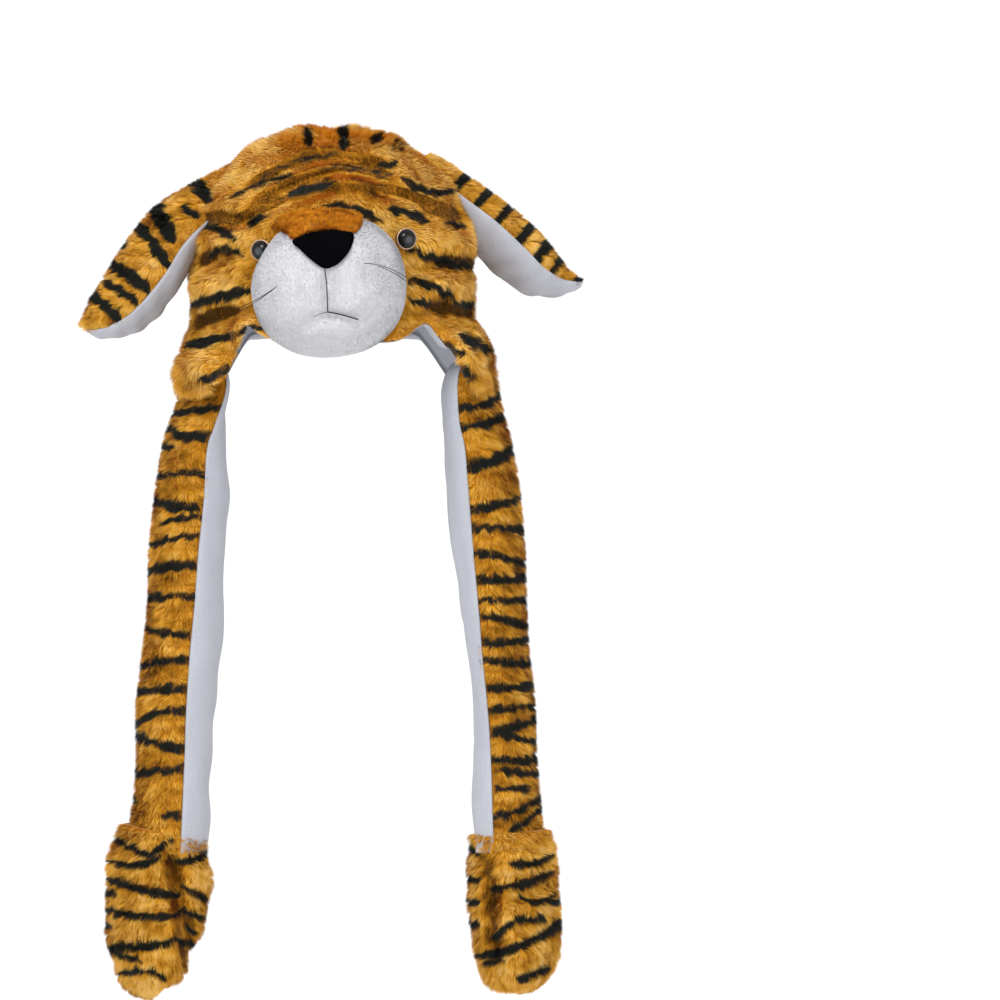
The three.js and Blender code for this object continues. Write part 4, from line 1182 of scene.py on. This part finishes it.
def crown_roots(patch, name, seed, hem_from):
    """Roots of the crown's front or back pile. None lie under the muzzle, the bridge or an eye, and
    none under the hem on the right side."""
    roots = scatter(patch, ROOTS[name], seed)
    roots = keep(roots, (roots.points[:, 1] < CROWN_PARTING_Y) == (name == "crown_pile_front"))
    roots = keep(roots, (roots.u < hem_from) | (roots.points[:, 0] < 0))
    x, z = to_muzzle(roots.points[:, 0], roots.points[:, 2])
    ahead = roots.points[:, 1] < 0
    half_width, lowest, highest = UNDER_BRIDGE
    covered = (muzzle_ring(x, z) < MUZZLE_FOOT) | ((np.abs(x) < half_width) & (z > lowest) & (z < highest))
    roots = keep(roots, ~(ahead & covered))
    for side in EYES:
        place = eye_place(side)[0]
        roots = keep(roots, np.linalg.norm(roots.points - place, axis=1) > EYE_RADIUS + EYE_CLEARANCE)
    return roots


def crown_trim(points):
    """Shares that the crown's pile keeps of its length: on the brow, at the hem, and in the creases
    of the face. At the hem it is longer at the sides and shorter at the free rim."""
    azimuth = np.degrees(np.arctan2(points[:, 0], -points[:, 1]))
    height = points[:, 2]
    facing = smoothstep(25, -30, points[:, 1])
    brow = 1 - 0.3 * facing * smoothstep(-80, -50, height) * smoothstep(2, -8, height)
    crease = facing * smoothstep(0, -5, fold_height(CROWN_FOLDS, points[:, 0], height))
    low = smoothstep(18, 0, height - rim_at(azimuth))
    hem = 1 + low * (0.35 - 0.85 * free_rim(azimuth))
    return brow, hem, 1 - 0.4 * crease


def crown_lining_rings():
    """The lining's rings: a turned lip under the free rim, which is slight at the left of the face, and
    plain faces at the sides, where they end a little above the hem."""
    azimuth = crown_azimuths(LINING_COLUMNS)
    down, inset, drop, relief = lining_path(LINING_ROWS, CLOTH_INSET, SHELL_WALL, HEM_RADIUS)
    lipped = shell_points(azimuth, down, inset, drop, relief)
    upper = np.arange(len(down)) < len(down) / 2
    raised = -LINING_EDGE_LIFT * smoothstep(0.8, 1, down)
    plain = shell_points(azimuth, down, np.where(upper, *LINING_FACES), raised, relief)
    lip = free_rim(azimuth) * np.where((azimuth < 0) & (azimuth > -90), LEFT_LIP, 1)
    return plain + lip[None, :, None] * (lipped - plain)


class HAT_OT_crown(bpy.types.Operator):
    """The crown's cloth, pile and lining"""

    bl_idname = "tiger_hat.crown"
    bl_label = "Crown"

    def execute(self, context):
        sizes = context.scene.hat_sizes
        path = crown_path(CROWN_ROWS, CROWN_INNER_ROWS, CLOTH_INSET, SHELL_WALL, HEM_RADIUS)
        points = shell_points(crown_azimuths(CROWN_COLUMNS), *path)
        skin = closed_piece(
            "crown_cloth", closed_tube(points), striped_cloth(), ("crown_fur",), crown_stripe)

        fur = points[: CROWN_ROWS + 6]
        hem_from = (CROWN_ROWS + 2) / (len(fur) - 1)
        still = np.zeros(fur.shape[:2])
        parting = np.sign(fur[..., 0]) * 0.35 * np.minimum(1, np.abs(fur[..., 0]) / 40)
        lays = unit(np.gradient(fur, axis=0)) + np.stack([parting, still, still], -1)
        patch = patch_of(fur, unit(lays), True)
        length = sizes.crown_pile / MM
        width = sizes.strand_width / MM
        for name, seed, wide in (
            ("crown_pile_front", 101, width),
            ("crown_pile_back", 102, BACK_STRAND_WIDTH * width),
        ):
            roots = crown_roots(patch, name, seed, hem_from)
            brow, hem, crease = crown_trim(roots.points)
            pile = CROWN_PILE._replace(gather=CROWN_PILE.gather * brow[:, None] ** 3)
            pile_piece(name, roots, striped_pile(), length * brow * hem * crease, wide,
                       seed + 50, pile, crown_cover, crown_tint_and_painted_shade)

        rings = crown_lining_rings()
        closed_piece("crown_fleece", closed_tube(rings), lining_fleece(), ("crown_lining",))
        return {"FINISHED"}


def eye_place(side):
    """An eye button's place on the crown and the way it looks."""
    azimuth, z = EYES[side]
    a = np.radians(azimuth)
    outward = unit(np.array([np.sin(a) / CROWN_HALF_WIDTH, -np.cos(a) / CROWN_HALF_DEPTH, 0]))
    facing = unit(outward + EYE_LOOK_AHEAD * FRONT)
    place = np.array([CROWN_HALF_WIDTH * np.sin(a), -CROWN_HALF_DEPTH * np.cos(a), z])
    return place + EYE_SEAT * facing, facing


def turned_rings(profile, place, facing, columns=48):
    """A profile of radius and height carried round an axis at a place."""
    across = unit(np.cross([0, 0, 1], facing))
    up = np.cross(facing, across)
    turn = np.linspace(0, 2 * np.pi, columns, endpoint=False)
    rays = np.cos(turn)[:, None] * across + np.sin(turn)[:, None] * up
    radius, height = np.asarray(profile, float).T
    return place + radius[:, None, None] * rays[None] + height[:, None, None] * facing


class HAT_OT_eyes(bpy.types.Operator):
    """Two domed eye buttons, each in a thin ring"""

    bl_idname = "tiger_hat.eyes"
    bl_label = "Eyes"

    def execute(self, context):
        colours = context.scene.hat_colours
        glossy = shared_material(
            "eye_gloss", gloss_material, tuple(colours.eye), 0.07, centre=colours.eye_painted_highlight)
        copper = shared_material("eye_copper", gloss_material, tuple(colours.eye_ring), 0.3, metallic=0.8)
        steps = np.linspace(0, np.pi / 2, 16)
        foot = [(0.2, -3), (EYE_RADIUS * 0.9, -3), (EYE_RADIUS * 0.93, 0.5)]
        dome = [(EYE_RADIUS * 0.93 * np.cos(a), 1.8 + EYE_DOME * np.sin(a)) for a in steps[:-1]]
        profile = foot + dome + [(0.15, 1.8 + EYE_DOME)]
        bead = np.linspace(0, 2 * np.pi, 14, endpoint=False)
        for side in EYES:
            place, facing = eye_place(side)

            # The painted highlight: paler towards the eye's middle, a little below its axis
            def painted_highlight(points, place=place, facing=facing):
                from_axis = np.linalg.norm(np.cross(points - place - [0, 0, -0.6], facing), axis=-1)
                return smoothstep(0.56, 0.12, from_axis / EYE_RADIUS)

            closed_piece(f"eye_button_{side}", closed_tube(turned_rings(profile, place, facing)), glossy,
                         (f"eye_{side}",), painted_highlight)
            ring = [(EYE_RADIUS - 0.2 + 0.5 * np.cos(a), 1.7 + 0.5 * np.sin(a)) for a in bead]
            loops = turned_rings(ring, place, facing)
            shape = (loops.reshape(-1, 3), [torus_faces(*loops.shape[:2])])
            closed_piece(f"eye_ring_{side}", shape, copper)
        return {"FINISHED"}


def torus_faces(rows, columns):
    """Faces of a grid that is closed both ways."""
    r = np.arange(rows)[:, None]
    c = np.arange(columns)[None]
    after_r = (r + 1) % rows
    after_c = (c + 1) % columns
    corners = np.broadcast_arrays(
        r * columns + c, r * columns + after_c, after_r * columns + after_c, after_r * columns + c)
    return np.stack(corners, -1).reshape(-1, 4)


def pad_rings(outline, heights, columns):
    """A pad on the face: rings shrink from the outline to its middle, each at its own height.
    heights lists the share of the outline and the lift of each ring."""
    edge = closed_outline(outline, columns)
    middle = edge.mean(0)
    rings = []
    for share, lift in heights:
        place = middle + share * (edge - middle)
        rings.append(face_points(place[:, 0], place[:, 1], lift))
    return np.array(rings)


def thread(path, radius, sides=6):
    """A thin closed tube along a path: a ring of points across it at each step."""
    path = np.asarray(path, float)
    along = unit(np.gradient(path, axis=0))
    side = unit(np.cross(along, [0.13, 0.21, 0.97]))
    up = np.cross(side, along)
    turn = np.linspace(0, 2 * np.pi, sides, endpoint=False)
    ring = np.cos(turn)[None, :, None] * side[:, None] + np.sin(turn)[None, :, None] * up[:, None]
    return closed_tube(path[:, None] + radius * ring)


def muzzle_places(inset):
    """Front view places of the muzzle's rings, from its middle to its outline: superellipses, each the
    sine of its share to the power of the fullness, and tapered."""
    turn = np.linspace(0, 2 * np.pi, 128, endpoint=False)[None]
    reach = np.linspace(0.012, 1, 60)[:, None]
    ring = np.sin(reach * np.pi / 2) ** MUZZLE.fullness
    spread = np.abs(np.cos(turn)) ** MUZZLE.squareness + np.abs(np.sin(turn)) ** MUZZLE.squareness
    corner = spread ** (-1 / MUZZLE.squareness)
    z = (MUZZLE.half_height - inset) * ring * corner * np.sin(turn)
    x = (MUZZLE.half_width - inset) * ring * corner * np.cos(turn)
    return x * muzzle_taper(x, z), z


class HAT_OT_muzzle(bpy.types.Operator):
    """Stuffed white muzzle and its plush"""

    bl_idname = "tiger_hat.muzzle"
    bl_label = "Muzzle"

    def execute(self, context):
        sizes = context.scene.hat_sizes
        white = tuple(context.scene.hat_colours.white_plush)
        plush = shared_material(
            "white_pile", pile_material, [0.92 * c for c in white], white, [min(1, 1.03 * c) for c in white],
            PALE_TINTS, sheen=0.15)
        backing = shared_material(
            "white_backing", cloth_material, [0.9 * c for c in white], [0.82 * c for c in white])

        inset = 2.0
        x, z = muzzle_places(inset)
        dome = from_muzzle(np.stack([x, muzzle_y(x, z, -inset), z], -1))
        dome[..., 1] += 0.7 * waves(dome, 26, 61)
        rear = []
        for share in (0.97, 0.6, 0.1):
            ring = from_muzzle(np.stack([share * x[-1], 0 * x[-1], share * z[-1]], -1))
            ring[:, 1] = crown_front_y(ring[:, 0], ring[:, 2], 7)
            rear.append(ring)
        shape = closed_tube(np.concatenate([dome, rear]))
        skin = closed_piece("muzzle_cloth", shape, backing, ("muzzle",))

        centre = from_muzzle(np.zeros((1, 3)))[0]
        lays = unit(dome - centre) * [1, 0, 1] * 0.5 + np.array([0, 0, -0.8])
        roots = scatter(patch_of(dome, lays, True), ROOTS["muzzle"], 301)
        x, z = to_muzzle(roots.points[:, 0], roots.points[:, 2])
        middle, half_width, half_height = UNDER_NOSE
        on_nose = np.hypot(x / half_width, (z - middle) / half_height) < 1
        lowest, half_width = MUZZLE_TOP_BARE
        on_bridge = (z > lowest) & (np.abs(x) < half_width)
        roots = keep(roots, ~(on_nose | on_bridge | inside_crown(roots.points, 3)))
        pile_piece("muzzle_pile", roots, plush, sizes.muzzle_pile / MM, MUZZLE_STRAND_WIDTH,
                   310, MUZZLE_PILE)
        return {"FINISHED"}


class HAT_OT_bridge(bpy.types.Operator):
    """Orange-brown patch between forehead and nose"""

    bl_idname = "tiger_hat.bridge"
    bl_label = "Bridge"

    def execute(self, context):
        sizes = context.scene.hat_sizes
        rust = tuple(context.scene.hat_colours.rust)
        pale = (1.4 * rust[0], 1.7 * rust[1], 2 * rust[2])
        rust_pile = shared_material(
            "rust_pile", pile_material, [0.6 * c for c in rust], rust, pale, TINTS, sheen=0.0)
        rust_cloth = shared_material(
            "rust_cloth", cloth_material, [0.6 * c for c in rust], [0.4 * c for c in rust])
        front = [
            (0.02, 1.2), (0.2, 1.2), (0.4, 1.1), (0.6, 0.9), (0.75, 0.6), (0.87, 0.1), (0.95, -0.6), (1, -2)]
        rear = [(0.97, -4), (0.6, -4.5), (0.05, -4.5)]
        rings = pad_rings(BRIDGE_OUTLINE, front + rear, 72)
        closed_piece("bridge_cloth", closed_tube(rings), rust_cloth, ("muzzle_bridge",))

        fur = rings[: len(front)]
        upward = np.broadcast_to(np.array([0, 0, 1.0]), fur.shape)
        patch = patch_of(fur, upward + unit(fur - fur.mean((0, 1))) * [0.5, 0, 0.2], True)
        if np.mean(patch.normals[..., 1]) > 0:
            patch.normals *= -1
        roots = scatter(patch, ROOTS["bridge"], 321)
        pile_piece("bridge_pile", roots, rust_pile, sizes.bridge_pile / MM, BRIDGE_STRAND_WIDTH,
                   330, BRIDGE_PILE)
        return {"FINISHED"}


class HAT_OT_nose(bpy.types.Operator):
    """Black velvet nose pad"""

    bl_idname = "tiger_hat.nose"
    bl_label = "Nose"

    def execute(self, context):
        black = tuple(context.scene.hat_colours.nose)
        velvet = shared_material(
            "nose_velvet", cloth_material, black, [1.6 * c for c in black], grain=0.0005, depth=0.0002,
            sheen=0.0, gleam=0.0)
        puff = context.scene.hat_sizes.nose_thickness / MM
        shares = (0.03, 0.3, 0.55, 0.75, 0.88, 0.96, 1.0)
        front = [(share, puff * (1 - share**3.2) ** 0.5) for share in shares]
        rings = pad_rings(NOSE_OUTLINE, front + [(0.99, -1.5), (0.6, -3), (0.05, -3)], 72)
        closed_piece("nose_pad", closed_tube(rings), velvet, ("nose",))
        return {"FINISHED"}


class HAT_OT_threads(bpy.types.Operator):
    """Mouth stitches and whiskers"""

    bl_idname = "tiger_hat.threads"
    bl_label = "Mouth stitches and whiskers"

    def execute(self, context):
        sizes = context.scene.hat_sizes
        stitch = shared_material("black_thread", gloss_material, (0.02, 0.02, 0.02), 0.5)
        for name, (radius, line) in MOUTH.items():
            place = columns_at(line, np.linspace(0, len(line) - 1, 30))
            x, z = to_muzzle(place[:, 0], place[:, 1])
            closed_piece(name, thread(face_points(x, z, 0.9), radius), stitch)
        t = np.linspace(0, 1, 24)
        for number, (root_x, root_z, tip_x, tip_z, sag) in enumerate(WHISKERS, 1):
            x = root_x + (tip_x - root_x) * t
            z = root_z + (tip_z - root_z) * t + 4 * sag * t * (1 - t)
            root = to_muzzle(np.array([root_x]), np.array([root_z]))
            y = face_points(*root, 0.5)[0, 1] - 6 * t
            shape = thread(np.stack([x, y, z], -1), sizes.whisker_radius / MM)
            closed_piece(f"whisker_{number}", shape, stitch)
        return {"FINISHED"}


def limb_skin(table, outward, cut):
    """Rings of a limb's cloth: set in for the pile on the fur side, and less on the lining side."""
    position = np.linspace(cut.cloth_from, len(table) - 1, cut.rows)
    angle = np.linspace(0, 360, cut.columns, endpoint=False)[None]
    on_fur = smoothstep(-0.05, 0.2, np.sin(np.radians(angle)))
    inset = cut.back_inset + (cut.fur_inset - cut.back_inset) * on_fur
    return limb_points(table, position, angle, inset, outward)


def limb_patch(table, outward, cut):
    """The fur side of a limb as a patch whose pile lies towards its end, and outwards at its seams.
    Its v runs from the front seam to the back seam, and past each."""
    position = np.linspace(cut.pile_from, len(table) - 1, cut.rows)
    angle = np.linspace(-cut.overhang, 180 + cut.overhang, cut.columns)[None]
    points = limb_points(table, position, angle, np.full(angle.shape, cut.fur_inset), outward)
    share = np.linspace(-1, 1, points.shape[1])
    splay = 0.7 * np.sign(share) * smoothstep(0.75, 1, np.abs(share))
    lays = unit(np.gradient(points, axis=0)) + splay[None, :, None] * unit(np.gradient(points, axis=1))
    return patch_of(points, unit(lays), False)


def lining_panel(table, outward, cut, seed):
    """A limb's white side: the two faces of a sheet with soft long wrinkles, which end at its edges."""
    position = np.linspace(cut.lining_from, len(table) - 1.02, PANEL_ROWS)
    angle = np.linspace(180 + cut.seam_lip, 360 - cut.seam_lip, PANEL_COLUMNS)[None]
    flat = limb_points(table, position, angle, np.zeros(angle.shape), outward)
    stretched = flat * [1, 1, 0.22]
    wrinkle = 0.85 * waves(stretched, 17, seed) + 0.7 * waves(flat, 36, seed + 1)
    edge = np.sin(np.pi * np.linspace(0, 1, PANEL_COLUMNS))[None] ** 0.5
    outer = limb_points(table, position, angle, -wrinkle * edge, outward)
    inner = limb_points(table, position, angle, np.full(angle.shape, PANEL_THICKNESS), outward)
    return outer, inner


class HAT_OT_ears(bpy.types.Operator):
    """Two long ears: fur above, fleece below"""

    bl_idname = "tiger_hat.ears"
    bl_label = "Ears"

    def execute(self, context):
        sizes = context.scene.hat_sizes
        length = sizes.ear_pile / MM
        width = sizes.strand_width / MM
        for seed, (side, table) in enumerate(EARS.items(), 400):
            outward = OUTWARD[side]
            stripe = view_stripe(EAR_STRIPES[side])
            rings = push_out(limb_skin(table, outward, EAR), 9)
            skin = closed_piece(f"ear_{side}_cloth", closed_tube(rings), striped_cloth(),
                                (f"ear_{side}_fur",), stripe)
            roots = scatter(limb_patch(table, outward, EAR), ROOTS["ear"], seed)
            roots = keep(roots, ~inside_crown(roots.points, EAR.pile_depth))
            pile_piece(f"ear_{side}_pile", roots, striped_pile(), length, width, seed + 20,
                       LONG_PILE, stripe)
            outer, inner = lining_panel(table, outward, EAR, seed + 40)
            sheet = closed_slab(push_out(outer, 8), push_out(inner, 9))
            closed_piece(f"ear_{side}_fleece", sheet, lining_fleece(),
                         (f"ear_{side}_lining",))
        return {"FINISHED"}


class HAT_OT_flaps(bpy.types.Operator):
    """Two stuffed flaps: fur outside, fleece inside"""

    bl_idname = "tiger_hat.flaps"
    bl_label = "Flaps"

    def execute(self, context):
        sizes = context.scene.hat_sizes
        length = sizes.flap_pile / MM
        width = sizes.strand_width / MM
        angles = np.linspace(0, 360, FLAP.columns, endpoint=False)
        for seed, (side, table) in enumerate(FLAPS.items(), 500):
            outward = OUTWARD[side]
            rings = limb_skin(table, outward, FLAP)

            def on_cloth(points, side=side, rows=len(rings)):
                return flap_stripe(side, points, np.append(np.tile(angles, rows), [0, 0]))

            skin = closed_piece(f"flap_{side}_cloth", closed_tube(rings), striped_cloth(),
                                (f"flap_{side}_fur",), on_cloth)
            roots = scatter(limb_patch(table, outward, FLAP), ROOTS["flap"], seed)
            roots = keep(roots, ~inside_crown(roots.points, FLAP.pile_depth))

            def on_pile(seen, side=side, share=roots.v):
                return flap_stripe(side, seen, share * (180 + 2 * FLAP.overhang) - FLAP.overhang)

            pile_piece(f"flap_{side}_pile", roots, striped_pile(), length, width, seed + 20,
                       FLAP_PILE, on_pile, FLAP_TINT)
            outer, inner = lining_panel(table, outward, FLAP, seed + 40)
            closed_piece(f"flap_{side}_fleece", closed_slab(outer, inner), lining_fleece(),
                         (f"flap_{side}_lining",))
        return {"FINISHED"}


def paw_rings(side, columns=96):
    """A mitten's rings: up inside its cuff, over the roll, and down to its closed end. Folds and low
    waves move them outwards, more on the front, and not inside the cuff."""
    table = PAWS[side]
    cuff_position, cuff_inset, cuff_lift = np.array(CUFF_ROWS, float).T
    position = np.append(cuff_position, np.linspace(0.08, len(table) - 1, PAW_BODY_ROWS))
    inset = np.append(cuff_inset, np.full(PAW_BODY_ROWS, PAW_CLOTH_INSET))
    lift = np.append(cuff_lift, np.zeros(PAW_BODY_ROWS))
    angle = np.linspace(0, 360, columns, endpoint=False)[None]
    points = limb_points(table, position, angle, inset[:, None] + 0 * angle, OUTWARD[side])
    points[..., 2] += lift[:, None]
    fold = fold_height(PAW_FOLDS[side], points[..., 0], points[..., 2]) + 1.5 * waves(points, 32, 71)
    fade = np.concatenate([np.zeros(2), np.linspace(0.2, 1, 5), np.ones(PAW_BODY_ROWS)])[:, None]
    centres = points.mean(1, keepdims=True)
    outward = unit((points - centres) * [1, 1, 0.3])
    front = smoothstep(20, -10, points[..., 1])
    return points + outward * (fold * fade * (0.35 + 0.65 * front))[..., None]


class HAT_OT_paws(bpy.types.Operator):
    """Two mittens with rolled cuffs, fur all round"""

    bl_idname = "tiger_hat.paws"
    bl_label = "Paws"

    def execute(self, context):
        sizes = context.scene.hat_sizes
        length = sizes.paw_pile / MM
        width = PAW_STRAND_WIDTH * sizes.strand_width / MM
        for seed, side in enumerate(PAWS, 600):
            stripe = view_stripe(PAW_STRIPES[side])
            rings = paw_rings(side)
            skin = closed_piece(f"paw_{side}_cloth", closed_tube(rings), striped_cloth(),
                                (f"paw_{side}",), stripe)
            fur = rings[PAW_FUR_FROM:]
            roots = scatter(patch_of(fur, unit(np.gradient(fur, axis=0)), True), ROOTS["paw"], seed)

            # Painted shade in the front folds of a paw and painted light on their crests, over a paler tint
            # for the whole paw
            def shade(seen, side=side):
                front = smoothstep(20, -10, seen[:, 1])
                return 0.1 + 0.05 * front * fold_height(PAW_FOLDS[side], seen[:, 0], seen[:, 2])

            pile_piece(f"paw_{side}_pile", roots, striped_pile(), length, width, seed + 20,
                       LONG_PILE, stripe, shade)
        return {"FINISHED"}


class HAT_PT_panel(bpy.types.Panel):
    """Lists the hat's pieces, sizes, colours, camera and light"""

    bl_label = "Tiger hat"
    bl_idname = "HAT_PT_panel"
    bl_space_type = "VIEW_3D"
    bl_region_type = "UI"
    bl_category = "Tiger hat"

    def draw(self, context):
        for operator in OPERATORS:
            self.layout.operator(operator.bl_idname)
        for group in (context.scene.hat_sizes, context.scene.hat_colours, context.scene.hat_stage):
            for name in group.bl_rna.properties.keys():
                if name not in ("rna_type", "name"):
                    self.layout.prop(group, name)


GROUPS = {"hat_sizes": HatSizes, "hat_colours": HatColours, "hat_stage": HatStage}
OPERATORS = (
    HAT_OT_stage, HAT_OT_crown, HAT_OT_muzzle, HAT_OT_bridge, HAT_OT_nose, HAT_OT_threads, HAT_OT_eyes,
    HAT_OT_ears, HAT_OT_flaps, HAT_OT_paws,
)
CLASSES = (*GROUPS.values(), *OPERATORS, HAT_PT_panel)


def register():
    """Adds the classes, and their groups of settings to the scene."""
    for cls in CLASSES:
        bpy.utils.register_class(cls)
    for name, group in GROUPS.items():
        setattr(bpy.types.Scene, name, bpy.props.PointerProperty(type=group))


def unregister():
    """Takes the groups of settings and the classes away."""
    for name in GROUPS:
        delattr(bpy.types.Scene, name)
    for cls in reversed(CLASSES):
        bpy.utils.unregister_class(cls)


def main():
    """Makes the hat and its stage."""
    register()
    bpy.ops.tiger_hat.stage()
    bpy.ops.tiger_hat.crown()
    bpy.ops.tiger_hat.muzzle()
    bpy.ops.tiger_hat.bridge()
    bpy.ops.tiger_hat.nose()
    bpy.ops.tiger_hat.threads()
    bpy.ops.tiger_hat.eyes()
    bpy.ops.tiger_hat.ears()
    bpy.ops.tiger_hat.flaps()
    bpy.ops.tiger_hat.paws()


if __name__ == "__main__":
    main()
